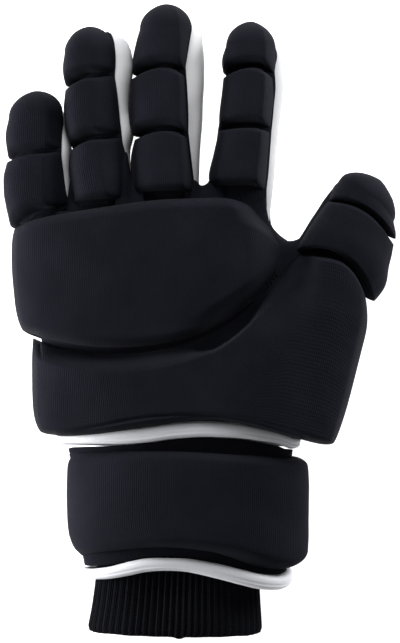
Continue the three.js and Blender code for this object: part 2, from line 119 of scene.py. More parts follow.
# Stalls, from root to tip: y, left, right, top.
STALLS = {
    "little": {"tip": 101.5, "rows": (
        (50.4, -81.0, -59.4, 21.0), (66.0, -82.4, -59.4, 21.0), (78.0, -82.4, -58.8, 20.5),
        (86.0, -82.0, -61.0, 19.0), (91.0, -81.5, -61.8, 17.5))},
    "ring": {"tip": 133.0, "rows": (
        (50.4, -60.0, -32.8, 22.0), (66.0, -56.4, -31.5, 21.6), (78.0, -55.3, -31.9, 21.2),
        (87.0, -55.2, -30.4, 20.9), (96.0, -55.0, -32.5, 20.6), (106.0, -54.7, -32.1, 20.1),
        (116.0, -54.2, -30.6, 19.3), (120.0, -54.0, -30.8, 19.0))},
    "middle": {"tip": 142.5, "rows": (
        (50.4, -32.2, 0.6, 22.5), (65.0, -25.5, 0.0, 22.0), (95.0, -23.0, 1.4, 21.0),
        (118.0, -22.5, 2.5, 20.0), (131.0, -20.5, 1.6, 18.5))},
    "index": {"tip": 131.0, "rows": (
        (50.4, 1.2, 32.5, 22.0), (66.0, 8.5, 34.5, 21.5), (90.0, 12.5, 36.6, 20.5),
        (108.0, 15.0, 38.4, 19.5), (119.0, 17.0, 37.6, 18.5))},
    "thumb": {"tip": 70.0, "rows": (
        (8.0, -17.0, 13.6, 23.0), (30.0, -16.0, 12.8, 23.0), (46.0, -14.0, 12.0, 22.0),
        (58.0, -12.5, 12.2, 20.0))},
}

# Thin covers over the stalls: how clear of the stall they lie, the turn at which they start, how far they
# swell at their left side and how many times as wide their side strip is, and at which turns and places
# they swell.
COVER_CLEAR = 0.7
COVER_LOW_TURN = math.pi * 1.13
COVER_SWELL = 3.2
COVER_SWELLS = {"thumb": 7.0}
COVER_STRIPS = {"thumb": 2}
COVER_SWELL_TURNS = (math.pi * 0.6, math.pi * 0.92)
COVER_SWELL_PLACES = (30.0, 44.0)

# The thumb's pads are rounder at both sides than the fingers', with narrower beds between them.
THUMB_PAD_FORM = {"flank": 2.2, "left_power": 2.0, "bed": 0.2}

# Finger pads, from base to tip edge: y, left, ridge, right, top, trail of the left end, trail of the right
# end.
PADS = {
    "little_base_pad": {"stall": "little", "rows": (
        (50.0, -86.8, -71.0, -59.8, 27.0, 7.5, -2.5), (60.0, -89.6, -72.0, -62.0, 28.0, 4.5, -1.5),
        (70.0, -90.2, -72.0, -63.3, 27.5, 4.0, -1.0), (76.4, -88.5, -72.0, -64.0, 27.0, 3.0, -1.0))},
    "little_tip_pad": {"stall": "little", "tip": 106.0, "rows": (
        (77.4, -88.0, -71.5, -64.0, 26.5, 3.2, -1.0), (86.0, -89.2, -71.0, -63.8, 26.4, 1.8, 0.0),
        (95.5, -87.8, -71.2, -62.9, 25.8, 1.8, -0.6))},
    "ring_base_pad": {"stall": "ring", "rows": (
        (54.0, -57.0, -42.0, -32.9, 30.5, 1.5, -0.5), (64.0, -59.0, -43.5, -33.0, 31.0, 2.0, -0.5),
        (74.0, -60.2, -45.5, -34.0, 30.5, 3.5, -0.5), (82.9, -59.4, -47.0, -36.2, 30.0, 4.4, -0.8))},
    "ring_middle_pad": {"stall": "ring", "rows": (
        (84.0, -59.0, -47.5, -36.2, 29.5, 4.6, -0.8), (93.0, -61.6, -49.0, -37.2, 30.0, 4.2, -0.8),
        (103.0, -62.4, -50.0, -38.2, 29.5, 4.2, -1.0), (111.2, -61.6, -50.0, -39.4, 29.0, 4.6, -1.0))},
    "ring_tip_pad": {"stall": "ring", "tip": 135.7, "rows": (
        (112.3, -61.4, -50.0, -39.6, 28.5, 4.8, -1.0), (118.0, -62.8, -50.0, -39.2, 28.4, 3.0, -0.5),
        (124.5, -62.0, -49.5, -39.2, 27.8, 1.0, 0.0))},
    "middle_base_pad": {"stall": "middle", "rows": (
        (57.8, -29.6, -7.5, -2.2, 32.0, 1.2, -0.4), (66.0, -31.2, -7.5, -3.4, 32.0, 1.6, 0.4),
        (78.0, -31.6, -8.0, -4.8, 31.5, 2.4, 1.6), (86.8, -29.8, -8.5, -5.8, 31.0, 3.2, 3.0))},
    "middle_middle_pad": {"stall": "middle", "rows": (
        (87.9, -30.6, -8.5, -5.8, 30.5, 3.2, 3.2), (96.0, -32.5, -9.0, -5.8, 31.0, 3.4, 3.2),
        (106.0, -32.3, -9.0, -6.3, 30.5, 3.8, 3.4), (115.8, -31.2, -9.5, -7.0, 30.0, 4.2, 3.6))},
    "middle_tip_pad": {"stall": "middle", "tip": 146.1, "rows": (
        (116.9, -30.9, -9.5, -7.0, 29.5, 4.2, 3.6), (123.0, -30.8, -9.0, -6.0, 29.5, 2.6, 2.0),
        (130.0, -28.9, -9.0, -4.9, 28.8, 1.2, 0.8), (135.0, -27.4, -9.5, -3.8, 28.0, 0.8, 0.0))},
    "index_base_pad": {"stall": "index", "rows": (
        (60.4, 5.4, 25.5, 29.8, 31.5, 0.3, 2.0), (67.0, 4.2, 26.0, 30.6, 32.0, 0.2, 1.2),
        (77.0, 6.4, 27.0, 31.4, 31.5, 0.6, 1.4), (88.2, 8.8, 28.0, 32.2, 31.0, 1.0, 2.0))},
    "index_middle_pad": {"stall": "index", "rows": (
        (89.3, 8.9, 28.0, 32.4, 30.5, 1.0, 2.0), (98.0, 9.2, 28.6, 33.2, 31.0, 2.0, 3.0),
        (107.0, 10.2, 29.4, 34.0, 30.5, 3.0, 4.0), (115.8, 11.0, 29.6, 33.6, 30.0, 3.7, 4.8))},
    "index_tip_pad": {"stall": "index", "tip": 138.0, "rows": (
        (116.9, 11.0, 29.6, 33.8, 29.5, 3.7, 4.8), (122.0, 10.3, 30.0, 34.9, 29.0, 2.0, 4.4),
        (127.5, 12.2, 29.8, 34.9, 28.2, 0.9, 1.6))},
    "thumb_middle_pad": {"stall": "thumb", **THUMB_PAD_FORM, "base_round": 2.2, "rows": (
        (36.0, -32.4, 5.0, 11.0, 33.0, 9.8, 9.0), (44.0, -32.9, 5.0, 11.2, 33.0, 8.9, 7.0),
        (52.0, -29.2, 5.0, 11.2, 31.5, 6.6, 6.0), (58.9, -25.6, 5.0, 10.6, 30.0, 4.4, 5.4))},
    "thumb_tip_pad": {"stall": "thumb", **THUMB_PAD_FORM, "base_round": 2.0, "tip": 75.6, "rows": (
        (60.1, -25.6, 5.0, 10.6, 29.5, 4.4, 5.4), (63.5, -23.4, 4.8, 11.6, 29.2, 4.2, 3.2),
        (66.5, -19.9, 4.4, 11.5, 28.8, 3.6, 0.6))},
}

# Section of a finger pad: the shares of the way round where its left side and its left slope end, how far
# its left side tucks in, how low its inside and its outside reach, how clear of the stall it lies, how far
# it goes into the gap to the next pad, and how it leans to the left. Then how long the way round is and how
# rounded its edges are at its sides, and the thin flat wall that is left in the grooves.
PAD_SIDE = 0.16
PAD_CROWN = 0.6
PAD_TUCK = 1.8
PAD_LOW_TURN = math.radians(26)
PAD_SKIRT = 4.5
PAD_CLEAR = 1.0
PAD_GAP = 0.4
PAD_LEAN = 0.045
PAD_ROUND_LENGTH = 60.0
PAD_SIDE_ROUND = 2.6
PAD_SIDE_BED = 0.2
PAD_SIDE_BASE_ROUND = 1.3
PAD_SIDE_TIP_ROUND = 1.0
PAD_DEEP_FROM = 0.8
PAD_FLAT_SHARE = 0.04
PAD_FLAT_EDGE = 0.5
PADDING_DEPTH = 9.0

# Palm shell, from the wrist to the finger edge: y, left, right, top.
PALM_ROWS = (
    (WRIST_EDGE, -65.0, 46.0, 29.0), (-40.0, -67.0, 52.5, 28.0), (-26.0, -69.5, 59.5, 27.0),
    (-8.0, -73.0, 64.5, 26.6), (10.0, -76.5, 64.0, 27.6), (24.0, -78.4, 56.8, 28.6),
    (33.0, -79.3, 48.5, 27.4), (37.8, -79.8, 39.4, 26.4), (43.5, -80.2, 33.6, 25.0),
    (50.0, -81.0, 32.6, 23.5),
)
PALM_REACH = 0.3
PALM_WAVE_LENGTH = 11.0

# The pads on the back of the hand, each by its four edges, from left to right and from base to tip.
KNUCKLE_EDGES = {
    "base": ((-82.6, -4.6), (-77.4, -6.9), (-66.0, -9.9), (-50.0, -12.5), (-36.0, -13.1), (-23.0, -12.2),
             (-11.0, -10.2), (0.0, -6.9), (10.0, -1.4), (18.5, 4.6), (27.0, 11.4), (35.0, 20.2)),
    "tip": ((-85.8, 42.8), (-80.3, 45.2), (-68.0, 48.3), (-50.5, 51.2), (-23.0, 55.1), (-2.0, 56.2),
            (14.0, 56.0), (26.0, 51.0), (33.5, 42.5)),
    "left": ((-82.6, -4.6), (-84.6, 4.0), (-85.8, 14.0), (-86.6, 24.0), (-86.6, 36.0), (-85.8, 42.8)),
    "right": ((35.0, 20.2), (38.2, 27.0), (38.6, 34.0), (33.5, 42.5)),
}
HAND_EDGES = {
    "base": ((-74.4, -52.6), (-60.0, -52.8), (-41.0, -51.0), (-20.0, -47.8), (2.5, -45.3), (20.0, -47.2),
             (43.0, -53.6), (62.6, -59.4)),
    "tip": ((-77.2, -7.4), (-70.6, -10.2), (-62.0, -12.6), (-46.0, -14.6), (-34.0, -14.7), (-20.0, -13.4),
            (-4.0, -9.6), (12.0, -1.8), (24.0, 8.2), (30.0, 14.2), (34.7, 19.5), (39.3, 24.4), (43.9, 29.0),
            (47.4, 31.8), (51.5, 31.6), (56.8, 30.6), (62.3, 29.6), (66.4, 27.8), (70.4, 24.2), (73.6, 19.6),
            (76.4, 14.4), (78.4, 10.0)),
    "left": ((-74.4, -52.6), (-76.4, -45.0), (-77.2, -36.0), (-77.4, -24.0), (-77.4, -16.0), (-77.2, -7.4)),
    "right": ((62.6, -59.4), (68.7, -38.0), (74.6, -15.0), (77.8, -2.0), (78.4, 10.0)),
}

# Forms of the broad pads. Corners: how far they are rounded off, at the base and the tip, left and right.
# Arch: left, right, top. Feet: heights of the underside at the right end and the left end. Slants: how
# steeply the top falls to the left and to the right edge, and from how far in. Sides: how far in the left
# and the right edge are rounded, as shares of the broad pads' roundness. Base and tip: the groove's bed,
# the share that is round, how far in the edge slopes gently, and between which places it comes to slope.
# Grid: faces across and along.
KNUCKLE_FORM = {
    "corners": (1.3, 1.0, 0.6, 2.0), "arch": (-100.0, 60.0, 27.5), "thickness": 11.0, "feet": (20.0, 9.0),
    "slants": ((0.16, 30.0), (0.0, 20.0)), "sides": (0.38, 2.2), "base": (0.9, 0.6, 13.0, (-10, 20)),
    "tip": (0.0, 0.55, 12.0, (14, 30)), "grid": (170, 110),
}
HAND_FORM = {
    "corners": (1.4, 1.4, 0.3, 1.6), "arch": (-96.0, 98.0, 29.0), "thickness": 10.0, "feet": (6.0, 6.0),
    "slants": ((0.15, 32.0), (0.12, 42.0)), "sides": (0.38, 0.4), "grid": (180, 110),
}
CORNER_SPREAD = 9.0
CROWN_POWER = 12
CROWN_ROUND = 1 / 3
SLANT_SOFTNESS = 5.0
FOOT_CLEAR = 0.8

# Shares of the arch and of the padding that are left at a broad pad's left and right edge.
EDGE_ARCH = 0.4
EDGE_PADDING = 0.3

# The least padding of a broad pad, how thick it is where it has fallen, and its thin flat wall and the
# wall's edge.
LEAST_PADDING = 0.4
FALLEN_THICKNESS = 2.4
FLAT_WALL = 0.4
BROAD_FLAT_EDGE = 0.6

# The knuckle pad falls by this share, between these places.
KNUCKLE_FALL = 0.72
KNUCKLE_FALL_PLACES = (22, 38)

# The hand pad's edges at the base and the tip: shares of the broad pads' roundness, and along the tip the
# places between which the valley beside the knuckle pad starts and ends, and the edge turns soft, round and
# gentle.
HAND_BASE_ROUND = 0.45
HAND_TIP_ROUND = 0.6
HAND_THUMB_ROUND = 0.36
HAND_VALLEY_ROUND = 0.2
HAND_VALLEY_STARTS = (-12, 8)
HAND_VALLEY_ENDS = (22, 34)
HAND_SOFTNESS = (0.6, 1.0)
HAND_SOFT_STARTS = (-20, 0)
HAND_SOFT_ENDS = (36, 54)
HAND_THUMB_STARTS = (40, 60)
HAND_BEDS = (0.3, 8.5)
HAND_GENTLE = (9.0, 13.0)
HAND_GENTLE_STARTS = (20, 40)

# The thumb's seam runs slantwise over the hand pad: a point on it, how far round it the pad falls and by what
# share, and between which distances along it, and places, that starts and ends.
SEAM_POINT = (38, 20)
SEAM_REACH = 17
SEAM_FALL = 0.78
SEAM_FALL_STARTS = (-34, -6)
SEAM_FALL_ENDS = (10, 26)
SEAM_FALL_STOPS = (45, 57)
DIAGONAL = 1.414

# The sewn line along the hand pad's base: how far in it runs, how much further round a place and how far
# round it, its depth and width, and between which places it starts and ends.
SEWN_LINE = 2.4
SEWN_RISE = 2.2
SEWN_RISE_ROUND = (-28, 40)
SEWN_DEPTH = 1.1
SEWN_WIDTH = 0.8
SEWN_STARTS = (-66, -50)
SEWN_ENDS = (40, 56)

# The stitched seam at the thumb's base, from left to right, and the level from which the pad is sought.
THUMB_SEAM = ((21.5, 8.4), (25.5, 10.0), (31.5, 16.6), (38.4, 23.7), (45.8, 31.0))
SEAM_LEVEL = 36.0
STITCHES = 18
STITCH_AHEAD = 0.01
STITCH_WIDTH = 0.8
STITCH_HEIGHT = 0.35
STITCH_SLANT = math.radians(52)

# The cloth webs between the fingers: x, y, height along the free edge, and the two ends of each root.
WEBS = {
    "ring_middle_web": ((-37.5, 60.0, 22.0), (-35.6, 72.0, 22.0), (-33.4, 77.5, 19.0), (-31.4, 68.0, 18.0),
                        (-29.6, 64.0, 20.0), (-26.0, 60.0, 24.0)),
    "middle_index_web": ((-6.0, 64.0, 22.0), (-2.0, 64.6, 20.0), (0.6, 62.4, 17.0), (3.4, 63.2, 18.0),
                         (6.0, 66.5, 20.0), (10.0, 66.0, 22.0)),
    "thumb_web": ((30.4, 57.0, 20.0), (30.8, 52.0, 18.5), (32.4, 44.6, 17.0), (34.7, 40.6, 16.0),
                  (38.4, 37.6, 15.5), (42.1, 36.9, 15.5), (46.2, 38.3, 15.5), (50.4, 42.4, 16.5),
                  (54.0, 47.8, 18.0)),
}
WEB_ROOTS = {
    "ring_middle_web": ((-40.0, 48.0), (-25.0, 48.0)),
    "middle_index_web": ((-8.0, 48.0), (12.0, 48.0)),
    "thumb_web": ((16.0, 48.0), (62.0, 30.0)),
}
WEB_LOWEST = 20.0
WEB_CLEAR = 0.6
WEB_THICKNESS = 3.0
WEB_PARTING = 0.8
WEB_TOP_POWER = 0.7
WEB_UNDER_POWER = 0.5
THUMB_WEB_SAG = 20.0
THUMB_WEB_CLEAR = 0.8

# Base cuff and padded cuff, from the lower to the upper edge: y, left, right, top.
CUFF_ROWS = ((-112.0, -53.0, 40.3, 27.5), (-96.0, -56.0, 41.5, 28.0), (-72.0, -57.0, 41.5, 28.0),
             (-59.1, -60.5, 43.0, 28.0))
CUFF_PAD_ROWS = ((-108.6, -55.0, 49.4, 37.0), (-104.5, -58.0, 50.2, 37.3), (-98.0, -60.3, 50.4, 37.5),
                 (-84.0, -61.1, 50.4, 37.5), (-70.0, -61.0, 50.3, 37.5), (-65.0, -60.3, 49.8, 37.3),
                 (-62.2, -58.6, 48.6, 37.0))
CUFF_PAD_EDGES = (-108.6, -62.2)
CUFF_PAD_LOWER_ROUND = 5.0
CUFF_PAD_UPPER_ROUND = 4.2
CUFF_SMOOTH_BELOW = 2.5

# Waves of the padded cuff's edges: a hill's rise, centre and reach, and a drop and the places between which
# it comes.
CUFF_PAD_UPPER_WAVE = (2.9, -20.0, 75.0, 1.2, 30.0, 48.0)
CUFF_PAD_LOWER_WAVE = (5.2, -14.0, 60.0, 5.2, 10.0, 46.0)

# Bindings: y, left, right, top, and then their run across the back, from left to right: x, rise, half width.
UPPER_BINDING = (-55.2, -64.0, 44.0, 32.0)
LOWER_BINDING = (-115.6, -52.5, 40.5, 28.5)
UPPER_BINDING_ROWS = (
    (-60.0, 1.0, 2.0), (-46.0, 1.6, 2.6), (-34.0, 2.4, 3.3), (-23.0, 3.4, 3.4), (-12.0, 4.9, 3.4),
    (0.0, 5.8, 3.4), (8.0, 5.6, 3.3), (20.0, 4.7, 3.1), (30.0, 3.0, 2.9), (36.0, 1.8, 2.8), (42.0, -0.8, 2.8),
)
LOWER_BINDING_ROWS = (
    (-50.0, -0.6, 2.4), (-41.0, 0.4, 2.8), (-32.0, 2.4, 3.2), (-24.0, 4.0, 3.1), (-15.0, 4.4, 2.9),
    (-5.0, 3.9, 3.1), (9.4, 1.0, 3.5), (18.6, -1.4, 3.6), (27.8, -3.7, 3.5), (36.0, -4.9, 3.1),
)
BINDING_FLOOR = 1.7

# How far a binding stands out on its outside and its inside, how squared off it is, and the root that
# rounds it.
BINDING_OUTSIDE = (2.6, 2.6, 0.5)
BINDING_INSIDE = (-1.5, 4, 0.25)

# The line sewn in a binding: its depth, its place across from -1 to 1, and its width.
BINDING_LINE = (0.4, -0.28, 0.1)

# The turn either way at which the heading of a binding's ring is taken.
BINDING_STEP = 0.02

# Knit cuff, from its open end to the end hidden in the base cuff: y, left, right, top, floor.
KNIT_ROWS = (
    (-145.4, -52.0, 29.3, 24.0, 0.0), (-138.0, -50.9, 29.0, 24.0, 1.6),
    (-120.0, -48.4, 28.0, 24.0, 4.6), (-104.0, -47.0, 27.4, 24.0, 5.0),
)
KNIT_RING = (-50.0, 29.0, 24.0, 1.0)
KNIT_WALL = 2.4
KNIT_SKIN = 0.3
KNIT_RIB_POWER = 0.8

# The shares of the knit cuff's faces that are its outside and its inside.
KNIT_OUTSIDE = 0.7
KNIT_INSIDE = 0.3

# The knit cuff's open end: how far in its hem tucks and how long it is, and how far its uneven edge eases.
# The edge rises evenly, to its sides and at their very ends, has a nub (length, place, width, lowest height),
# and is tilted.
HEM_TUCK = 0.8
HEM_LENGTH = 2.6
HEM_EASE = 16
HEM_RISE = 0.6
HEM_SIDE = 1.3
HEM_END = 0.8
HEM_NUB = (0.9, -9, 2.4, 12)
HEM_TILT = 0.014
HEM_TILT_FROM = -30

# Unevenness of padded cloth, fine and coarse: each its size in millimetres and its share of the crumple.
PAD_CRUMPLES = ((6, 1.0), (15, 1.0))
BROAD_CRUMPLES = ((9, 1.0), (28, 2.5))
CUFF_CRUMPLES = ((10, 1.0), (26, 2.0))

# The heights at which the coarse unevenness is taken where it doesn't follow the cloth's own.
PAD_OTHER_HEIGHT = 3
BROAD_OTHER_HEIGHT = 7

# Unevenness of thin cloth: its size and depth in millimetres. That of a stall is drawn out along the
# finger, and comes between two heights.
STALL_CRUMPLE = (7, 0.5)
STALL_CRUMPLE_ALONG = 0.5
STALL_CRUMPLE_HEIGHTS = (1, 5)
HEM_CRUMPLE = (9, 0.4)

# Swelling of the pads: the frames and the pressure of the simulation, and which points are held by how much
# they face down. Then how much of its sideways move a pad takes over, from how many points, and from which
# facing and height on. A mesh is the coarseness of the copy and the furthest move, in millimetres.
SWELL_FRAMES = 20
SWELL_PRESSURE = 4.0
SWELL_SIDEWAYS = 0.35
SWELL_HELD = -0.2
SWELL_NEAR = 20
SWELL_LEAST_FACING = 0.02
SWELL_FACING = (-0.3, 0.2)
SWELL_HEIGHTS = (4.0, 12.0)
SWOLLEN_BROAD = ("knuckle_pad_cloth", "hand_pad_cloth", "cuff_pad_cloth")
SWOLLEN_BROAD_MESH = (5.0, 1.3)
SWOLLEN_SMALL_MESH = (2.6, 0.5)

# Cloths: rib pitch in millimetres (none where it is a setting), depth of the ribs in metres, roughness,
# sheen, gloss, depth of the grain in metres, share of the courses, and how uneven the colour is.
CLOTHS = {
    "pad_cover": (None, 0.00012, 0.8, 0.015, 0.03, 0.0002, 0.6, 0.3),
    "black_cloth": (None, 0.0001, 0.85, 0.01, 0.03, 0.00012, 0.6, 0.3),
    "thread": (0.3, 0.00004, 0.7, 0.02, 0.05, 0.00012, 0.6, 0.3),
    "white_cloth": (0.5, 0.00002, 0.62, 0.1, 0.3, 0.00012, 0.6, 0.04),
    # Painted shade: the index stall's cloth is a darker copy of the white cloth, standing in for the shade on
    # its right side.
    "index_cloth": (0.5, 0.00002, 0.62, 0.1, 0.3, 0.00012, 0.6, 0.04),
    "white_binding": (0.4, 0.00001, 0.5, 0.1, 0.4, 0.00004, 0.6, 0.03),
    "black_knit": (0.9, 0.00015, 0.9, 0.01, 0.02, 0.00012, 1.2, 0.3),
}

# The wave texture's scale for one band in one unit of its map, how wide a course is beside a rib, how much
# the roughness varies either way, and the spacing of the shader nodes.
BAND_SCALE = 2 * math.pi / 20
COURSE_SHARE = 0.8
UNEVEN_GLOSS = 0.06
NODE_SPACING = (200, -160)

# Lamps: name, place and size in metres. Their powers are settings.
LAMPS = (
    ("left", (-0.56, -0.08, 0.105), (0.34, 0.18)),
    ("right", (0.58, 0.3, 0.16), (0.34, 0.2)),
    ("far", (-0.12, 0.6, 0.36), (0.34, 0.3)),
)

# The floor, in metres, and the camera: its sensor in millimetres, the height at which the picture has its
# true size, its place on the plan and its range, in metres.
FLOOR_SIZE = 3.0
FLOOR_DROP = 0.0002
FLOOR_ROUGHNESS = 0.9
SENSOR_WIDTH = 36.0
TRUE_SIZE_HEIGHT = 0.015
CAMERA_PLACE = (0.00023, -0.00023)
CAMERA_RANGE = (0.1, 20.0)


def millimetres(name, description, default, low, high):
    """A size that a user may change."""
    description += ", in millimetres"
    return FloatProperty(name=name, description=description, default=default, min=low, max=high)


def cloth_colour(name, description, default):
    """A colour that a user may change."""
    return FloatVectorProperty(
        name=name, description=description, subtype="COLOR", default=default, min=0.0, max=1.0)


class GloveSizes(bpy.types.PropertyGroup):
    """Sizes of the glove's cloth, padding and stitching."""

    base_round: millimetres("Base edge roundness", "How far in a finger pad's base is rounded", 4.2, 1.0, 9.0)
    groove_bed: millimetres("Groove bed", "Width of the bed of the grooves between the pads", 2.0, 0.0, 4.0)
    tip_round: millimetres("Tip edge roundness", "How far in a finger pad's tip is rounded", 2.0, 1.0, 9.0)
    broad_round: millimetres("Broad pad roundness", "How far in a broad pad is rounded", 9.0, 2.0, 14.0)
    cover_strip: millimetres("Side strip", "Width of the black cover beside a finger pad", 0.7, 0.0, 3.0)
    crumple: millimetres("Crumple", "How uneven the padded cloth lies", 0.22, 0.0, 1.0)
    rib_pitch: millimetres("Cloth rib pitch", "Distance between the black cloth's fine ribs", 1.0, 0.3, 2.0)
    knit_ribs: IntProperty(
        name="Knit ribs", description="Number of ribs round the knit cuff", default=58, min=30, max=120)
    knit_depth: millimetres("Knit rib depth", "Depth of the grooves between the knit ribs", 1.6, 0.2, 2.2)
    stitch_length: millimetres("Stitch length", "Length of one stitch of the thumb seam", 1.3, 0.5, 4.0)


class GloveColours(bpy.types.PropertyGroup):
    """Colours of the glove's cloth."""

    pad_cover: cloth_colour("Pad cover", "Black cloth of the pads", (0.0088, 0.0093, 0.0138))
    black_cloth: cloth_colour("Black cloth", "Thin black cloth under the pads", (0.0080, 0.0084, 0.0125))
    thread: cloth_colour("Thread", "Black thread of the thumb seam", (0.005, 0.005, 0.007))
    white_cloth: cloth_colour("White cloth", "White cloth of the stalls and palm", (0.88, 0.885, 0.91))
    # Painted shade: a darker copy of the white cloth for the index stall, standing in for the shade on its
    # right side.
    index_cloth: cloth_colour("Index cloth", "White cloth of the index finger's stall, a shade darker",
                              (0.52, 0.525, 0.54))
    white_binding: cloth_colour("Binding", "White binding at the wrist and cuff", (0.76, 0.77, 0.81))
    black_knit: cloth_colour("Knit", "Black yarn of the knit cuff", (0.0060, 0.0062, 0.0086))
    floor: cloth_colour("Floor", "Plain pale floor", (0.92, 0.92, 0.93))


class GloveStage(bpy.types.PropertyGroup):
    """Light and camera."""

    camera_height: FloatProperty(
        name="Camera height", description="Height of the camera above the floor", default=2.0, unit="LENGTH")
    view_height: FloatProperty(
        name="View height", description="Length of the scene that the picture's height takes in",
        default=0.2958, unit="LENGTH")
    left_power: FloatProperty(
        name="Left lamp", description="Power of the left softbox", default=6.3, unit="POWER")
    right_power: FloatProperty(
        name="Right lamp", description="Power of the right softbox", default=3.8, unit="POWER")
    far_power: FloatProperty(
        name="Far lamp", description="Power of the softbox beyond the fingertips", default=3.4, unit="POWER")
    sky: FloatProperty(
        name="Sky", description="Strength of the even light from all round", default=0.21)
    floor_glow: FloatProperty(
        name="Floor glow", description="How brightly the floor is lit from below", default=0.9)


class Profile:
    """Values that run smoothly through rows, each row led by its place along the glove."""

    def __init__(self, rows):
        self.places = [row[0] for row in rows]
        self.values = [row[1:] for row in rows]
        self.slopes = []
        last = len(rows) - 1
        for i in range(last + 1):
            before, after = max(i - 1, 0), min(i + 1, last)
            run = self.places[after] - self.places[before]
            self.slopes.append([(b - a) / run for a, b in zip(self.values[before], self.values[after])])

    def at(self, place):
        """The row's values at a place, held steady past either end."""
        place = min(max(place, self.places[0]), self.places[-1])
        i = 0
        while i < len(self.places) - 2 and place > self.places[i + 1]:
            i += 1
        run = self.places[i + 1] - self.places[i]
        t = (place - self.places[i]) / run
        t2, t3 = t * t, t * t * t
        near, far = 2 * t3 - 3 * t2 + 1, 3 * t2 - 2 * t3
        leave, reach = (t3 - 2 * t2 + t) * run, (t3 - t2) * run
        return [near * a + leave * m + far * b + reach * n for a, m, b, n in
                zip(self.values[i], self.slopes[i], self.values[i + 1], self.slopes[i + 1])]


class Edge:
    """A smooth curve through an edge's points. It runs evenly along X, or along Y for an end edge."""

    def __init__(self, points, axis):
        last = len(points) - 1
        self.axis, self.curve = axis, []
        for i in range(last):
            p0, p1, p2, p3 = (Vector(points[min(max(k, 0), last)]) for k in (i - 1, i, i + 1, i + 2))
            m1, m2 = (p2 - p0) * 0.5, (p3 - p1) * 0.5
            for step in range(EDGE_STEPS):
                w = step / EDGE_STEPS
                w2, w3 = w * w, w * w * w
                self.curve.append((2 * w3 - 3 * w2 + 1) * p1 + (w3 - 2 * w2 + w) * m1
                                  + (3 * w2 - 2 * w3) * p2 + (w3 - w2) * m2)
        self.curve.append(Vector(points[last]))

    def at(self, share):
        """The point a share of the way from the first to the last point."""
        start, stop = self.curve[0][self.axis], self.curve[-1][self.axis]
        goal = mix(start, stop, share)
        low, high = 0, len(self.curve) - 1
        while high - low > 1:
            half = (low + high) // 2
            if (self.curve[half][self.axis] - goal) * (stop - start) <= 0:
                low = half
            else:
                high = half
        run = self.curve[high][self.axis] - self.curve[low][self.axis]
        return self.curve[low].lerp(self.curve[high], (goal - self.curve[low][self.axis]) / run)


class Stall:
    """The surface of one finger stall, with its round tip."""

    def __init__(self, rows, tip):
        self.profile = Profile(rows)
        self.root, self.shoulder, self.tip = rows[0][0], rows[-1][0], tip

    def ring(self, y):
        """Left, right, top and how much of its size the ring keeps, at a place along the stall."""
        left, right, top = self.profile.at(y)
        past = (y - self.shoulder) / (self.tip - self.shoulder)
        size = 1.0 if past <= 0 else max(1 - past * past, 0.0) ** DOME_POWER
        return left, right, top, size

    def point(self, y, turn, clear=0.0):
        """A point on the stall, at a turn from its right side over the top."""
        left, right, top, size = self.ring(y)
        x, z = oval_point(turn, left, right, top, clear=clear)
        middle = (left + right) / 2
        x = middle + (x - middle) * size
        kept = size if z > SEAM_HEIGHT else mix(UNDERSIDE_KEPT, 1.0, size)
        return Vector((x, y, SEAM_HEIGHT + (z - SEAM_HEIGHT) * kept))

    def along(self, v, start, clear=0.0):
        """The place along the stall for a share of its length, slowing into the tip."""
        straight = self.shoulder - start
        dome = self.tip + clear - self.shoulder
        share = straight / (straight + DOME_LENGTH * dome)
        if v < share:
            return start + straight * v / share
        return self.shoulder + dome * math.sin(QUARTER * (v - share) / (1 - share))


UPPER_BINDING_FORM = Profile(UPPER_BINDING_ROWS)
LOWER_BINDING_FORM = Profile(LOWER_BINDING_ROWS)
PALM_PROFILE = Profile(PALM_ROWS)
STALL_FORMS = {name: Stall(spec["rows"], spec["tip"]) for name, spec in STALLS.items()}
FINISHES = {}


def smooth(start, stop, value):
    """Rises from 0 to 1 between two values."""
    t = min(max((value - start) / (stop - start), 0.0), 1.0)
    return t * t * (3 - 2 * t)


def hump(x, centre, reach):
    """A smooth hill of height 1, that ends a reach from its centre."""
    return 0.5 + 0.5 * math.cos(math.pi * min(abs(x - centre) / reach, 1.0))


def bell(off, width):
    """A smooth hill of height 1, at a distance off its centre."""
    return math.exp(-(off / width) ** 2)


def mix(a, b, t):
    """A value between two others."""
    return a + (b - a) * t


def eased(share):
    """A share of the way, with small steps at both ends."""
    return 0.5 - 0.5 * math.cos(math.pi * share)


def eased_start(share):
    """A share of the way, with small steps at the start."""
    return 1 - math.cos(QUARTER * share) if share < 1 else 1.0


def rounded(distance, reach, power=EDGE_POWER):
    """Fullness of a padded edge: nothing at the edge, and full a reach further in."""
    left_over = 1 - min(max(distance / reach, 0.0), 1.0)
    return (1 - left_over ** power) ** (1 / power)


def ramp(distance, reach):
    """How far a point is short of a reach, turning softly to nothing past it."""
    short = reach - distance
    return (math.sqrt(short * short + SLANT_SOFTNESS * SLANT_SOFTNESS) + short) / 2


def squared(turn, power):
    """Across and up on a squared-off circle."""
    c, s = math.cos(turn), math.sin(turn)
    return math.copysign(abs(c) ** (2 / power), c), abs(s) ** (2 / power)


def turn_at(share, power):
    """The turn at which a squared-off circle is a share of its width across."""
    share = min(max(share, -WIDEST_SHARE), WIDEST_SHARE)
    return math.acos(math.copysign(abs(share) ** (power / 2), share))


def oval_point(turn, left, right, top, floor=0.0, power=STALL_POWER, clear=0.0):
    """A point on the flat oval section of a stall, palm or cuff, by its turn from the right over the top."""
    seam = min(SEAM_HEIGHT, (top + floor) / 2)
    across, rise = squared(turn, power)
    x = (left + right) / 2 + ((right - left) / 2 + clear) * across
    if math.sin(turn) >= 0:
        return x, seam + (top + clear - seam) * rise
    return x, max(seam - (seam - floor + FOOT_FLAT + clear) * rise, floor - clear)


def lengths(points):
    """How far along its middle line each point of a grid lies, in units of the cloth map."""
    run = [0.0]
    for a, b in zip(points, points[1:]):
        run.append(run[-1] + (b - a).length / MAP_UNIT)
    return run


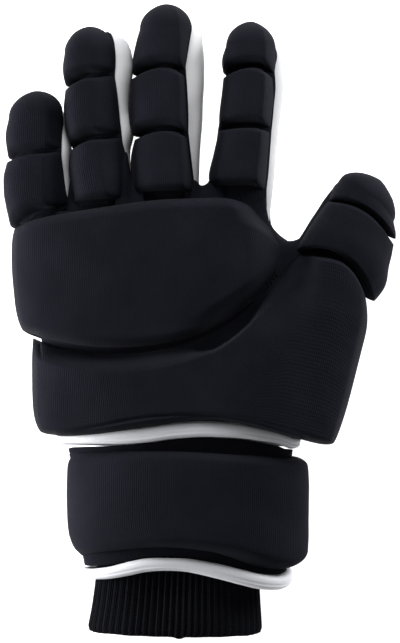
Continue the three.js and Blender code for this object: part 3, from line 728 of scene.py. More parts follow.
def even_turns(left, right, top, floor=0.0, power=STALL_POWER):
    """The turn at a share of the way round a flat oval, so that even shares are evenly spaced cloth."""
    ring = [Vector(oval_point(2 * math.pi * i / RING_SAMPLES, left, right, top, floor, power))
            for i in range(RING_SAMPLES + 1)]
    run = lengths(ring)

    def turn(share):
        goal = share * run[-1]
        i = min(max(bisect_right(run, goal) - 1, 0), RING_SAMPLES - 1)
        return 2 * math.pi * (i + (goal - run[i]) / (run[i + 1] - run[i])) / RING_SAMPLES

    return turn


def wrist_wave(x):
    """Rise of the wrist edge across the back of the hand."""
    return UPPER_BINDING_FORM.at(x)[0]


def cuff_wave(x):
    """Rise of the cuff's lower edge."""
    return LOWER_BINDING_FORM.at(x)[0]


def edge_wave(rise, centre, reach, drop, start, stop):
    """A function for the rise of an edge: a hill, less a drop to the right."""
    return lambda x: rise * hump(x, centre, reach) - drop * smooth(start, stop, x)


def crumpled(x, y, z, size, amount):
    """A small unevenness of cloth at a point."""
    return amount * noise.noise(Vector((x, y, z)) / size)


def crumpled_pad(x, y, z, other_z, crumples, amount):
    """Fine and coarse unevenness of padded cloth. The coarse one takes x and y the other way round."""
    (fine, fine_share), (coarse, coarse_share) = crumples
    return (crumpled(x, y, z, fine, amount * fine_share)
            + crumpled(y, x, other_z, coarse, amount * coarse_share))


def grid(bm, faces, place):
    """Adds a grid of faces, so many across and along, bent to a surface. place(u, v) gives a point in
    millimetres, with u and v from 0 to 1. Its cloth map is as long and wide as the cloth."""
    across, along = faces
    layer = bm.loops.layers.uv.get(CLOTH_MAP) or bm.loops.layers.uv.new(CLOTH_MAP)
    made = bmesh.ops.create_grid(bm, x_segments=across, y_segments=along, size=0.5, calc_uvs=True)
    wide = lengths([Vector(place(i / across, 0.5)) for i in range(across + 1)])
    long = lengths([Vector(place(0.5, i / along)) for i in range(along + 1)])
    for face in {face for vert in made["verts"] for face in vert.link_faces}:
        face.smooth = True
        for loop in face.loops:
            u, v = loop[layer].uv
            loop[layer].uv = (wide[round(u * across)], long[round(v * along)])
    for vert in made["verts"]:
        vert.co = Vector(place(vert.co.x + 0.5, vert.co.y + 0.5)) * MM


def piece(bm, name, cloth, replaces=(), turn=None, weld=WELD):
    """Closes the mesh's seams and makes it a piece of the glove, with the finish of its cloth."""
    bmesh.ops.remove_doubles(bm, verts=bm.verts, dist=weld)
    bmesh.ops.dissolve_degenerate(bm, edges=bm.edges, dist=SLIVER)
    if turn is not None:
        bmesh.ops.transform(bm, matrix=turn, verts=bm.verts)
    bmesh.ops.recalc_face_normals(bm, faces=bm.faces)
    made = mesh_object(bm, name, finish(cloth))
    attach(made, "root")
    if replaces:
        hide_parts(*replaces)
    return made


def mesh_object(bm, name, material):
    """Makes an object of a mesh that is ready, and adds it to the scene."""
    mesh = bpy.data.meshes.new(name)
    bm.to_mesh(mesh)
    bm.free()
    mesh.materials.append(material)
    made = bpy.data.objects.new(name, mesh)
    bpy.context.scene.collection.objects.link(made)
    return made


def thicken(made, wall):
    """Gives a sheet of cloth its wall, on the inside."""
    wall_maker = made.modifiers.new("wall", "SOLIDIFY")
    wall_maker.thickness = wall * MM
    wall_maker.offset = -1.0
    wall_maker.use_even_offset = True
    wall_maker.use_quality_normals = True


def thumb_turn(name):
    """Places the thumb's pieces, which are shaped along Y and mirrored, at the thumb's root and angle."""
    if not name.startswith("thumb"):
        return None
    mirrored = Matrix.Scale(-1, 4, Vector((1, 0, 0)))
    return Matrix.Translation(Vector(THUMB_ROOT) * MM) @ Matrix.Rotation(-THUMB_ANGLE, 4, "Z") @ mirrored


def node(tree, kind, at, inputs=(), **settings):
    """Adds a shader node at a grid place, with settings and inputs. An input is a value or another socket."""
    made = tree.nodes.new(kind)
    made.location = (at[0] * NODE_SPACING[0], at[1] * NODE_SPACING[1])
    for key, value in settings.items():
        setattr(made, key, value)
    for key, value in dict(inputs).items():
        if isinstance(value, bpy.types.NodeSocket):
            tree.links.new(value, made.inputs[key])
        else:
            made.inputs[key].default_value = value
    return made


def tint(colour, factor):
    """A colour made lighter or darker, with its alpha."""
    return (*(min(channel * factor, 1.0) for channel in colour), 1.0)


def ribbed_cloth(name, colour, pitch, rib_depth, roughness, sheen, gloss, grain, cross, patch):
    """A fine rib cloth: ribs and courses on the cloth map, slubs and worn patches in the object's space."""
    material = bpy.data.materials.new(name)
    material.use_nodes = True
    tree = material.node_tree
    tree.nodes.clear()
    weave = node(tree, "ShaderNodeUVMap", (0, 0), uv_map=CLOTH_MAP)
    place = node(tree, "ShaderNodeTexCoord", (0, 3))
    ribs = node(tree, "ShaderNodeTexWave", (1, 0), {
        "Vector": weave.outputs["UV"], "Scale": BAND_SCALE * MAP_UNIT / pitch, "Distortion": 0.4,
        "Detail": 1.0, "Detail Scale": 0.6}, wave_type="BANDS", bands_direction="X", wave_profile="SIN")
    courses = node(tree, "ShaderNodeTexWave", (1, 1), {
        "Vector": weave.outputs["UV"], "Scale": BAND_SCALE * MAP_UNIT / (pitch * COURSE_SHARE),
        "Distortion": 0.6, "Detail": 1.0}, wave_type="BANDS", bands_direction="Y", wave_profile="SIN")
    slubs = node(tree, "ShaderNodeTexNoise", (1, 3), {
        "Vector": place.outputs["Object"], "Scale": 900.0, "Detail": 3.0, "Roughness": 0.6})
    patches = node(tree, "ShaderNodeTexNoise", (1, 4), {
        "Vector": place.outputs["Object"], "Scale": 38.0, "Detail": 4.0, "Roughness": 0.55})
    woven = node(tree, "ShaderNodeMath", (2, 0), {
        0: courses.outputs["Color"], 1: cross}, operation="MULTIPLY")
    height = node(tree, "ShaderNodeMath", (2, 1), {
        0: ribs.outputs["Color"], 1: woven.outputs[0]}, operation="ADD")
    shade = node(tree, "ShaderNodeMapRange", (2, 4), {
        "Value": patches.outputs["Fac"], "From Min": 0.32, "From Max": 0.68, "To Min": 0.0, "To Max": 1.0})
    blend = node(tree, "ShaderNodeMix", (3, 3), {
        "Factor": shade.outputs["Result"], "A": tint(colour, 1 - patch / 2),
        "B": tint(colour, 1 + patch / 2)}, data_type="RGBA")
    # Painted shade and highlight: the colour is darkened in the grooves between ribs and courses and
    # lightened on their crests, alongside the real bump.
    groove = node(tree, "ShaderNodeMapRange", (3, 1), {
        "Value": height.outputs[0], "From Min": 0.0, "From Max": 1 + cross, "To Min": 0.8, "To Max": 1.13})
    shaded = node(tree, "ShaderNodeMix", (4, 2), {
        "Factor": 1.0, "A": blend.outputs["Result"], "B": groove.outputs["Result"]}, data_type="RGBA",
        blend_type="MULTIPLY")
    rib_bump = node(tree, "ShaderNodeBump", (4, 0), {
        "Strength": 0.8, "Distance": rib_depth, "Height": height.outputs[0]})
    slub_bump = node(tree, "ShaderNodeBump", (5, 0), {
        "Strength": 0.6, "Distance": grain, "Height": slubs.outputs["Fac"],
        "Normal": rib_bump.outputs["Normal"]})
    dull = node(tree, "ShaderNodeMapRange", (4, 4), {
        "Value": slubs.outputs["Fac"], "To Min": roughness - UNEVEN_GLOSS,
        "To Max": roughness + UNEVEN_GLOSS})
    shader = node(tree, "ShaderNodeBsdfPrincipled", (6, 1), {
        "Base Color": shaded.outputs["Result"], "Roughness": dull.outputs["Result"],
        "Normal": slub_bump.outputs["Normal"], "Sheen Weight": sheen, "Sheen Roughness": 0.45,
        "Specular IOR Level": gloss})
    output = node(tree, "ShaderNodeOutputMaterial", (8, 1), {"Surface": shader.outputs["BSDF"]})
    output.is_active_output = True
    return material


def floor_finish(name, colour, glow):
    """An even matte finish for the floor, lit a little from below."""
    material = bpy.data.materials.new(name)
    material.use_nodes = True
    shader = material.node_tree.nodes["Principled BSDF"]
    shader.inputs["Base Color"].default_value = tint(colour, 1.0)
    shader.inputs["Roughness"].default_value = FLOOR_ROUGHNESS
    shader.inputs["Emission Color"].default_value = WHITE
    shader.inputs["Emission Strength"].default_value = glow
    return material


def finish(cloth):
    """The finish of one kind of cloth, made once."""
    if cloth not in FINISHES:
        scene = bpy.context.scene
        pitch, *look = CLOTHS[cloth]
        if pitch is None:
            pitch = scene.glove_sizes.rib_pitch
        FINISHES[cloth] = ribbed_cloth(cloth, getattr(scene.glove_colours, cloth), pitch, *look)
    return FINISHES[cloth]


def stall_start(name):
    """Where a stall and its cover start. Those of the fingers overlap the palm."""
    return STALL_FORMS[name].root - (0.0 if name == "thumb" else STALL_OVERLAP)


class GLOVE_OT_stalls(bpy.types.Operator):
    """Sew the five white finger stalls"""

    bl_idname = "glove.stalls"
    bl_label = "Finger stalls"

    def execute(self, context):
        crumple, depth = STALL_CRUMPLE
        low, high = STALL_CRUMPLE_HEIGHTS
        for name, form in STALL_FORMS.items():
            def place(u, v, form=form, start=stall_start(name)):
                y = form.along(v, start)
                point = form.point(y, 2 * math.pi * u)
                left, right, _, size = form.ring(y)
                lift = crumpled(point.x, point.y * STALL_CRUMPLE_ALONG, point.z, crumple, depth * size)
                away = Vector((point.x - (left + right) / 2, 0, point.z - SEAM_HEIGHT))
                if point.z > low and away.length > SMALL:
                    point += away.normalized() * lift * smooth(low, high, point.z)
                return point

            bm = bmesh.new()
            grid(bm, STALL_GRID, place)
            # The index stall gets the darker copy of the white cloth, as painted shade on its right side.
            cloth = "index_cloth" if name == "index" else "white_cloth"
            made = piece(bm, f"{name}_stall_cloth", cloth, (f"{name}_stall",),
                         turn=thumb_turn(name))
            thicken(made, CLOTH_WALL)
        return {"FINISHED"}


def pad_right_edge(finger):
    """Where the right edge of a finger's pads runs along the finger."""
    pads = [spec for spec in PADS.values() if spec["stall"] == finger]
    return Profile(sorted({(row[0], row[3]) for spec in pads for row in spec["rows"]}))


class GLOVE_OT_covers(bpy.types.Operator):
    """Lay the thin black cover over each stall, under its pads"""

    bl_idname = "glove.covers"
    bl_label = "Stall covers"

    def execute(self, context):
        for name, form in STALL_FORMS.items():
            right_edge = pad_right_edge(name)
            swell = COVER_SWELLS.get(name, COVER_SWELL)
            strip = context.scene.glove_sizes.cover_strip * COVER_STRIPS.get(name, 1)

            def place(u, v, form=form, start=stall_start(name), right_edge=right_edge, strip=strip,
                      swell=swell):
                y = form.along(v, start, COVER_CLEAR)
                left, right, _, _ = form.ring(y)
                middle, half = (left + right) / 2, (right - left) / 2 + COVER_CLEAR
                last = turn_at((right_edge.at(y)[0] + strip - middle) / half, STALL_POWER)
                turn = mix(COVER_LOW_TURN, last, u)
                swollen = smooth(*COVER_SWELL_TURNS, turn) * smooth(*COVER_SWELL_PLACES, y)
                clear = mix(COVER_CLEAR, swell, swollen)
                return form.point(min(y, form.tip), turn, clear) + Vector((0, max(y - form.tip, 0), 0))

            bm = bmesh.new()
            grid(bm, COVER_GRID, place)
            made = piece(bm, f"{name}_cover", "black_cloth", turn=thumb_turn(name))
            thicken(made, COVER_WALL)
        return {"FINISHED"}


def pad_surface(spec, sizes):
    """Functions for the outside and the inside of one finger pad, which meet all round its edge."""
    form = STALL_FORMS[spec["stall"]]
    profile = Profile(spec["rows"])
    tip = spec.get("tip")
    first, last = spec["rows"][0][0] - PAD_GAP, spec["rows"][-1][0] + (PAD_GAP if tip is None else 0.0)
    flank = spec.get("flank", PAD_RIGHT_POWER)
    length = last - first
    straight = 1.0 if tip is None else length / (length + DOME_LENGTH * (tip - last))

    def station(v):
        if v <= straight:
            return first + length * v / straight, 0.0
        return last, QUARTER * (v - straight) / (1 - straight)

    def outside(u, y, bend):
        left, ridge, right, top, trail_left, trail_right = profile.at(y)
        s_left, s_right, s_top, _ = form.ring(min(y, form.shoulder))
        s_middle, s_half = (s_left + s_right) / 2, (s_right - s_left) / 2 + PAD_CLEAR
        share = min((right - s_middle) / s_half, WIDEST_SHARE)
        rise = (1 - abs(share) ** STALL_POWER) ** (1 / STALL_POWER)
        foot = SEAM_HEIGHT + (s_top + PAD_CLEAR - SEAM_HEIGHT) * rise
        if u < PAD_SIDE:
            t = QUARTER * (1 - u / PAD_SIDE)
            x, z = left + PAD_TUCK * (1 - math.cos(t)), SEAM_HEIGHT - (SEAM_HEIGHT - PAD_SKIRT) * math.sin(t)
        elif u < PAD_CROWN:
            c, s = squared(QUARTER * (u - PAD_SIDE) / (PAD_CROWN - PAD_SIDE),
                           spec.get("left_power", PAD_LEFT_POWER))
            x, z = ridge - (ridge - left) * c, SEAM_HEIGHT + (top - SEAM_HEIGHT) * s
            z -= PAD_LEAN * (ridge - left) * c * c * s
        else:
            c, s = squared(QUARTER * (1 - u) / (1 - PAD_CROWN), flank)
            x, z = ridge + (right - ridge) * c, foot + (top - foot) * s
        middle, half = (left + right) / 2, (right - left) / 2
        off = (x - middle) / half
        size = math.cos(bend) ** PAD_DOME_POWER if bend < QUARTER - SMALL else 0.0
        trail = (trail_left if off < 0 else trail_right) * off * off * size
        reach = 0.0 if tip is None else (tip - last) * math.sin(bend)
        x, z = middle + (x - middle) * size, SEAM_HEIGHT + (z - SEAM_HEIGHT) * size
        return Vector((x, y + reach - trail, z)), trail, ridge, right

    def inside(u, y, bend, trail, ridge, right):
        inner_y = y - trail
        if tip is not None:
            inner_y += (form.tip - last) * math.sin(bend)
        inner_y = min(inner_y, form.tip)
        left, s_right, _, _ = form.ring(min(inner_y, form.shoulder))
        middle, half = (left + s_right) / 2, (s_right - left) / 2 + PAD_CLEAR
        over = turn_at((ridge - middle) / half, STALL_POWER)
        edge = turn_at((right - middle) / half, STALL_POWER)
        if u < PAD_SIDE:
            turn = math.pi + PAD_LOW_TURN * (1 - u / PAD_SIDE)
        elif u < PAD_CROWN:
            turn = mix(math.pi, over, (u - PAD_SIDE) / (PAD_CROWN - PAD_SIDE))
        else:
            turn = mix(over, edge, (u - PAD_CROWN) / (1 - PAD_CROWN))
        return form.point(inner_y, turn, PAD_CLEAR)

    def both(u, v):
        y, bend = station(v)
        outer, trail, ridge, right = outside(u, y, bend)
        return outer, inside(u, y, bend, trail, ridge, right), y

    def lower(u, v):
        return both(u, v)[1]

    def upper(u, v):
        outer, inner, y = both(u, v)
        side = rounded(u * PAD_ROUND_LENGTH, PAD_SIDE_ROUND)
        deep = smooth(PAD_SIDE * PAD_DEEP_FROM, (PAD_SIDE + PAD_CROWN) / 2, u)
        bed = mix(PAD_SIDE_BED, spec.get("bed", sizes.groove_bed), deep)
        base_round = mix(PAD_SIDE_BASE_ROUND, spec.get("base_round", sizes.base_round), deep)
        grooved = rounded(y - first - bed, base_round)
        if tip is None:
            grooved *= rounded(last - y, mix(PAD_SIDE_TIP_ROUND, sizes.tip_round, deep))
        fullness = side * mix(grooved, math.sqrt(grooved), smooth(PAD_CROWN, 1.0, u))
        flat = side * rounded(y - first, PAD_FLAT_EDGE)
        if tip is None:
            flat *= rounded(last - y, PAD_FLAT_EDGE)
        fullness = max(fullness, PAD_FLAT_SHARE * flat)
        bumpy = crumpled_pad(*outer, PAD_OTHER_HEIGHT, PAD_CRUMPLES, sizes.crumple)
        return inner + (outer - inner) * (fullness * (1 + bumpy / PADDING_DEPTH))

    return upper, lower


class GLOVE_OT_finger_pads(bpy.types.Operator):
    """Fill the pads along the fingers and the thumb"""

    bl_idname = "glove.finger_pads"
    bl_label = "Finger pads"

    def execute(self, context):
        for name, spec in PADS.items():
            ease = eased_start if "tip" in spec else eased
            bm = bmesh.new()
            for surface in pad_surface(spec, context.scene.glove_sizes):
                grid(bm, PAD_GRID, lambda u, v, surface=surface, ease=ease: surface(u, ease(v)))
            piece(bm, f"{name}_cloth", "pad_cover", (name,), thumb_turn(name))
        return {"FINISHED"}


def palm_top(x, y, clear):
    """Height of the palm shell's back at a point of the plan."""
    left, right, top = PALM_PROFILE.at(y)
    off = abs((x - (left + right) / 2) / ((right - left) / 2 + clear))
    if off >= 1:
        return 0.0
    return SEAM_HEIGHT + (top + clear - SEAM_HEIGHT) * (1 - off ** PALM_POWER) ** (1 / PALM_POWER)


def broad_pad(bm, edges, form, reach, crumple, fall, dent=None):
    """A broad pad between four edges, arched over the hand: its outside and its inside, which meet at its
    edges. Its reach is how far in the left and the right edge are rounded, and then a function for the base
    and one for the tip. At an x each gives the groove's bed, how far in the edge is round, how far in it
    slopes gently, and how much it slopes. The fall is the share by which the top comes down to a thin pad at
    a point, and the dent is a depth that is taken off the top. In the grooves a thin flat wall is left."""
    left, right, top = form["arch"]
    middle, half = (left + right) / 2, (right - left) / 2
    base_edge, tip_edge = Edge(edges["base"], 0), Edge(edges["tip"], 0)
    left_edge, right_edge = Edge(edges["left"], 1), Edge(edges["right"], 1)
    corners = [edge.at(t) for edge in (base_edge, tip_edge) for t in (0, 1)]
    width = (right_edge.at(0.5) - left_edge.at(0.5)).length
    height = (tip_edge.at(0.5) - base_edge.at(0.5)).length

    def plan(u, v):
        a, b = 2 * u - 1, 2 * v - 1
        corner_share = abs(a) ** (width / CORNER_SPREAD) * abs(b) ** (height / CORNER_SPREAD)
        pull = 2 * form["corners"][(a > 0) + 2 * (b > 0)] * corner_share
        u = 0.5 + a / 2 * (1 - pull / width)
        v = 0.5 + b / 2 * (1 - pull / height)
        point = base_edge.at(u) * (1 - v) + tip_edge.at(u) * v
        point += left_edge.at(v) * (1 - u) + right_edge.at(v) * u
        weights = ((1 - u) * (1 - v), u * (1 - v), (1 - u) * v, u * v)
        for corner, weight in zip(corners, weights):
            point -= corner * weight
        return point

    def foot(point):
        right_foot, left_foot = form["feet"]
        low = left_foot if point.x < middle else right_foot
        return max(palm_top(point.x, point.y, FOOT_CLEAR), low)

    def lower(u, v):
        point = plan(eased(u), eased(v))
        return point.x, point.y, foot(point)

    def upper(u, v):
        across, along = eased(u), eased(v)
        point = plan(across, along)
        base = foot(point)
        tall = (tip_edge.at(across) - base_edge.at(across)).length
        from_left, from_right = across * width, (1 - across) * width
        from_base, from_tip = along * tall, (1 - along) * tall
        off = min(abs((point.x - middle) / half), 1.0)
        curve = (1 - off ** PALM_POWER) ** (1 / PALM_POWER)
        crown = (1 - abs(2 * across - 1) ** CROWN_POWER) ** CROWN_ROUND
        full = SEAM_HEIGHT + (top - SEAM_HEIGHT) * curve * mix(EDGE_ARCH, 1.0, crown)
        full += form["thickness"] * mix(EDGE_PADDING, 1.0, crown)
        for distance, (slope, far) in zip((from_left, from_right), form["slants"]):
            full -= slope * ramp(distance, far)
        fullness = rounded(from_left, reach[0]) * rounded(from_right, reach[1])
        for distance, end_reach in zip((from_base, from_tip), reach[2:]):
            bed, firm, gentle, softness = end_reach(point.x)
            fullness *= mix(rounded(distance - bed, firm), smooth(bed, gentle, distance), softness)
        full = mix(full, base + FALLEN_THICKNESS, fall(point))
        if dent is not None:
            full -= dent(point.x, from_base)
        full += crumpled_pad(point.x, point.y, 0, BROAD_OTHER_HEIGHT, BROAD_CRUMPLES, crumple)
        flat = FLAT_WALL
        for distance in (from_left, from_right, from_base, from_tip):
            flat *= rounded(distance, BROAD_FLAT_EDGE)
        return point.x, point.y, base + max(max(full - base, LEAST_PADDING) * fullness, flat)

    for surface in (upper, lower):
        grid(bm, form["grid"], surface)


class GLOVE_OT_knuckle_pad(bpy.types.Operator):
    """Fill the broad pad over the knuckles"""

    bl_idname = "glove.knuckle_pad"
    bl_label = "Knuckle pad"

    def execute(self, context):
        sizes = context.scene.glove_sizes

        def end_reach(end):
            bed, firm, gentle, slopes = KNUCKLE_FORM[end]
            return lambda x: (bed, sizes.broad_round * firm, gentle, smooth(*slopes, x))

        def fall(point):
            return KNUCKLE_FALL * smooth(*KNUCKLE_FALL_PLACES, point.x)

        bm = bmesh.new()
        sides = (sizes.broad_round * share for share in KNUCKLE_FORM["sides"])
        reach = (*sides, end_reach("base"), end_reach("tip"))
        broad_pad(bm, KNUCKLE_EDGES, KNUCKLE_FORM, reach, sizes.crumple, fall)
        piece(bm, "knuckle_pad_cloth", "pad_cover", ("knuckle_pad",))
        return {"FINISHED"}


class GLOVE_OT_hand_pad(bpy.types.Operator):
    """Fill the pad over the back of the hand and the thumb's base"""

    bl_idname = "glove.hand_pad"
    bl_label = "Hand pad"

    def execute(self, context):
        sizes = context.scene.glove_sizes

        def base_reach(x):
            return 0.0, sizes.broad_round * HAND_BASE_ROUND, 1.0, 0.0

        def tip_reach(x):
            valley = smooth(*HAND_VALLEY_STARTS, x) * (1 - smooth(*HAND_VALLEY_ENDS, x))
            softness = mix(*HAND_SOFTNESS, smooth(*HAND_SOFT_STARTS, x)) * (1 - smooth(*HAND_SOFT_ENDS, x))
            plain_round = mix(HAND_TIP_ROUND, HAND_THUMB_ROUND, smooth(*HAND_THUMB_STARTS, x))
            firm = sizes.broad_round * mix(plain_round, HAND_VALLEY_ROUND, valley)
            gentle = mix(*HAND_GENTLE, smooth(*HAND_GENTLE_STARTS, x))
            return mix(*HAND_BEDS, valley), firm, gentle, softness * (1 - valley)

        def fall(point):
            right, up = point.x - SEAM_POINT[0], point.y - SEAM_POINT[1]
            off_seam, along_seam = abs(right - up) / DIAGONAL, (right + up) / DIAGONAL
            share = SEAM_FALL * bell(off_seam, SEAM_REACH) * smooth(*SEAM_FALL_STARTS, along_seam)
            return share * (1 - smooth(*SEAM_FALL_ENDS, along_seam)) * (1 - smooth(*SEAM_FALL_STOPS, point.x))

        def dent(x, from_base):
            line = SEWN_LINE + SEWN_RISE * hump(x, *SEWN_RISE_ROUND)
            depth = SEWN_DEPTH * bell(from_base - line, SEWN_WIDTH)
            return depth * smooth(*SEWN_STARTS, x) * (1 - smooth(*SEWN_ENDS, x))

        bm = bmesh.new()
        sides = (sizes.broad_round * share for share in HAND_FORM["sides"])
        reach = (*sides, base_reach, tip_reach)
        broad_pad(bm, HAND_EDGES, HAND_FORM, reach, sizes.crumple, fall, dent)
        piece(bm, "hand_pad_cloth", "pad_cover", ("hand_pad",))
        return {"FINISHED"}


class GLOVE_OT_webs(bpy.types.Operator):
    """Sew the cloth webs between the fingers"""

    bl_idname = "glove.webs"
    bl_label = "Finger webs"

    def execute(self, context):
        for name, outline in WEBS.items():
            rim = Edge([point[:2] for point in outline], 0)
            heights = Profile([(point[0], point[2]) for point in outline])
            start, stop = (Vector(point) for point in WEB_ROOTS[name])
            sag, clear = (THUMB_WEB_SAG, THUMB_WEB_CLEAR) if name == "thumb_web" else (0.0, 0.0)

            def place(u, v, upper, rim=rim, heights=heights, start=start, stop=stop, sag=sag, clear=clear):
                edge = rim.at(u)
                root = start.lerp(stop, u) - Vector((0, sag * math.sin(math.pi * u)))
                flat = root.lerp(edge, math.sin(QUARTER * v))
                inner = max(palm_top(root.x, root.y, WEB_CLEAR), WEB_LOWEST) + clear
                outer = heights.at(edge.x)[0]
                fall = math.cos(QUARTER * v)
                high = mix(outer, inner, fall ** WEB_TOP_POWER)
                low = mix(outer, inner - WEB_THICKNESS, fall ** WEB_UNDER_POWER)
                return flat.x, flat.y, high if upper else min(low - WEB_PARTING * fall, high)

            bm = bmesh.new()
            for upper in (True, False):
                grid(bm, WEB_GRID, lambda u, v, upper=upper: place(u, v, upper))
            piece(bm, f"{name}_cloth", "black_cloth")
        return {"FINISHED"}


class GLOVE_OT_stitches(bpy.types.Operator):
    """Sew the stitches of the thumb seam"""

    bl_idname = "glove.stitches"
    bl_label = "Thumb seam stitches"

    def execute(self, context):
        length = context.scene.glove_sizes.stitch_length
        seam = Edge(THUMB_SEAM, 0)
        pad = BVHTree.FromObject(bpy.data.objects["hand_pad_cloth"], context.evaluated_depsgraph_get())
        bm = bmesh.new()
        for i in range(STITCHES):
            share = (i + 0.5) / STITCHES
            spot, ahead = seam.at(share), seam.at(min(share + STITCH_AHEAD, 1.0))
            heading = math.atan2(ahead.y - spot.y, ahead.x - spot.x) + STITCH_SLANT
            high = pad.find_nearest(Vector((spot.x, spot.y, SEAM_LEVEL)) * MM)[0].z / MM
            made = bmesh.ops.create_icosphere(bm, subdivisions=2, radius=0.5 * MM)["verts"]
            bmesh.ops.scale(bm, vec=(length, STITCH_WIDTH, STITCH_HEIGHT), verts=made)
            bmesh.ops.rotate(bm, cent=(0, 0, 0), matrix=Matrix.Rotation(heading, 3, "Z"), verts=made)
            bmesh.ops.translate(bm, vec=Vector((spot.x, spot.y, high)) * MM, verts=made)
        for face in bm.faces:
            face.smooth = True
        bm.loops.layers.uv.new(CLOTH_MAP)
        piece(bm, "thumb_seam_stitches", "thread", weld=STITCH_WELD)
        return {"FINISHED"}


class GLOVE_OT_palm(bpy.types.Operator):
    """Sew the palm shell from its black back and its white palm"""

    bl_idname = "glove.palm"
    bl_label = "Palm shell"

    def execute(self, context):
        for name, half, look in (("back", 0, "black_cloth"), ("palm", 1, "white_cloth")):
            def place(u, v, half=half):
                y = mix(WRIST_EDGE, PALM_ROWS[-1][0] + PALM_REACH, v)
                left, right, top = PALM_PROFILE.at(y)
                x, z = oval_point(math.pi * (u + half), left, right, top, power=PALM_POWER)
                share = 1 - smooth(0, PALM_WAVE_LENGTH, y - WRIST_EDGE)
                y += wrist_wave(x) * smooth(WAVE_START, WAVE_FULL, z) * share
                return x, y, z

            bm = bmesh.new()
            grid(bm, PALM_GRID, place)
            thicken(piece(bm, f"{name}_shell", look, (f"{name}_cloth",)), CLOTH_WALL)
        return {"FINISHED"}


def sleeve_surface(rows, ends, power, floor, clear=0.0, waves=None):
    """A function for a cuff's surface, from its lower to its upper edge, with the waves of the two edges."""
    profile = Profile(rows)
    start, stop = ends
    turn = even_turns(*profile.at((start + stop) / 2), floor, power)

    def place(u, v):
        y = mix(start, stop, v)
        left, right, top = profile.at(y)
        x, z = oval_point(turn(u), left, right, top, floor, power, clear)
        if waves is not None:
            lower_wave, upper_wave = waves
            y += lower_wave(x) * smooth(WAVE_START, WAVE_FULL, z) * (1 - v)
            y += upper_wave(x) * smooth(WAVE_START, WAVE_FULL, z) * v
        return Vector((x, y, z))

    return place


class GLOVE_OT_cuff(bpy.types.Operator):
    """Sew the base cuff and wrap the padded cuff round it"""

    bl_idname = "glove.cuff"
    bl_label = "Cuff"

    def execute(self, context):
        sizes = context.scene.glove_sizes
        ends = (CUFF_ROWS[0][0], CUFF_ROWS[-1][0])
        bm = bmesh.new()
        grid(bm, BASE_CUFF_GRID,
             sleeve_surface(CUFF_ROWS, ends, STALL_POWER, CUFF_FLOOR, waves=(cuff_wave, wrist_wave)))
        thicken(piece(bm, "base_cuff_cloth", "black_cloth", ("base_cuff",)), CLOTH_WALL)

        low, high = CUFF_PAD_EDGES
        length = high - low
        waves = (edge_wave(*CUFF_PAD_LOWER_WAVE), edge_wave(*CUFF_PAD_UPPER_WAVE))
        outside = sleeve_surface(CUFF_PAD_ROWS, CUFF_PAD_EDGES, CUFF_PAD_POWER, 0.0, waves=waves)
        lining = sleeve_surface(CUFF_ROWS, CUFF_PAD_EDGES, STALL_POWER, CUFF_FLOOR, LINING_CLEAR)

        def inside(u, v):
            point = lining(u, v)
            point.y = outside(u, v).y
            return point

        def padded(u, v):
            along = eased(v)
            outer, inner = outside(u, along), inside(u, along)
            fullness = rounded(along * length, CUFF_PAD_LOWER_ROUND)
            fullness *= rounded((1 - along) * length, CUFF_PAD_UPPER_ROUND)
            bumpy = crumpled_pad(*outer, outer.z, CUFF_CRUMPLES, sizes.crumple)
            if outer.z < CUFF_SMOOTH_BELOW:
                bumpy = 0
            return inner + (outer - inner) * (fullness * (1 + bumpy / PADDING_DEPTH))

        bm = bmesh.new()
        grid(bm, CUFF_PAD_GRID, padded)
        grid(bm, CUFF_PAD_GRID, lambda u, v: inside(u, eased(v)))
        piece(bm, "cuff_pad_cloth", "pad_cover", ("cuff_pad",))
        return {"FINISHED"}


def coarse_copy(made, coarseness):
    """A closed copy of a pad with even faces, as large as its coarseness in millimetres."""
    rough = bpy.data.objects.new(made.name + "_rough", made.data.copy())
    bpy.context.scene.collection.objects.link(rough)
    evener = rough.modifiers.new("even", "REMESH")
    evener.mode = "VOXEL"
    evener.voxel_size = coarseness * MM
    even = bpy.data.meshes.new_from_object(rough.evaluated_get(bpy.context.evaluated_depsgraph_get()))
    rough.modifiers.clear()
    fine, rough.data = rough.data, even
    bpy.data.meshes.remove(fine)
    return rough


def swell(made, coarseness, limit):
    """Swells a pad as cloth does under pressure, with its underside held. A coarse copy is simulated, and the
    pad's points move as the copy's points near them do, by no more than the limit in millimetres."""
    rough = coarse_copy(made, coarseness)
    start = [(vert.co.copy(), vert.normal.copy()) for vert in rough.data.vertices]
    held = rough.vertex_groups.new(name="held")
    held.add([i for i, (_, normal) in enumerate(start) if normal.z < SWELL_HELD], 1.0, "REPLACE")
    cloth = rough.modifiers.new("cloth", "CLOTH").settings
    cloth.vertex_group_mass = held.name
    cloth.use_pressure = True
    cloth.uniform_pressure_force = SWELL_PRESSURE
    cloth.effector_weights.gravity = 0.0
    for frame_number in range(1, SWELL_FRAMES + 1):
        bpy.context.scene.frame_set(frame_number)
    swollen = rough.evaluated_get(bpy.context.evaluated_depsgraph_get()).data
    moves = [vert.co - place for vert, (place, _) in zip(swollen.vertices, start)]
    tree = KDTree(len(start))
    for i, (place, _) in enumerate(start):
        tree.insert(place, i)
    tree.balance()
    shifts = []
    for vert in made.data.vertices:
        total, shift = TINY, Vector((0, 0, 0))
        for _, i, distance in tree.find_n(vert.co, SWELL_NEAR):
            facing = max(vert.normal.dot(start[i][1]), SWELL_LEAST_FACING)
            weight = facing * bell(distance, coarseness * MM)
            total += weight
            shift += moves[i] * weight
        shift = shift / total / MM
        shift.x *= SWELL_SIDEWAYS
        shift.y *= SWELL_SIDEWAYS
        far = max(shift.length, SMALL)
        kept = limit * (1 - math.exp(-far / limit)) / far
        kept *= smooth(*SWELL_FACING, vert.normal.z) * smooth(*SWELL_HEIGHTS, vert.co.z / MM)
        shifts.append(shift * kept * MM)
    for vert, shift in zip(made.data.vertices, shifts):
        vert.co += shift
    made.data.update()
    coarse = rough.data
    bpy.data.objects.remove(rough)
    bpy.data.meshes.remove(coarse)


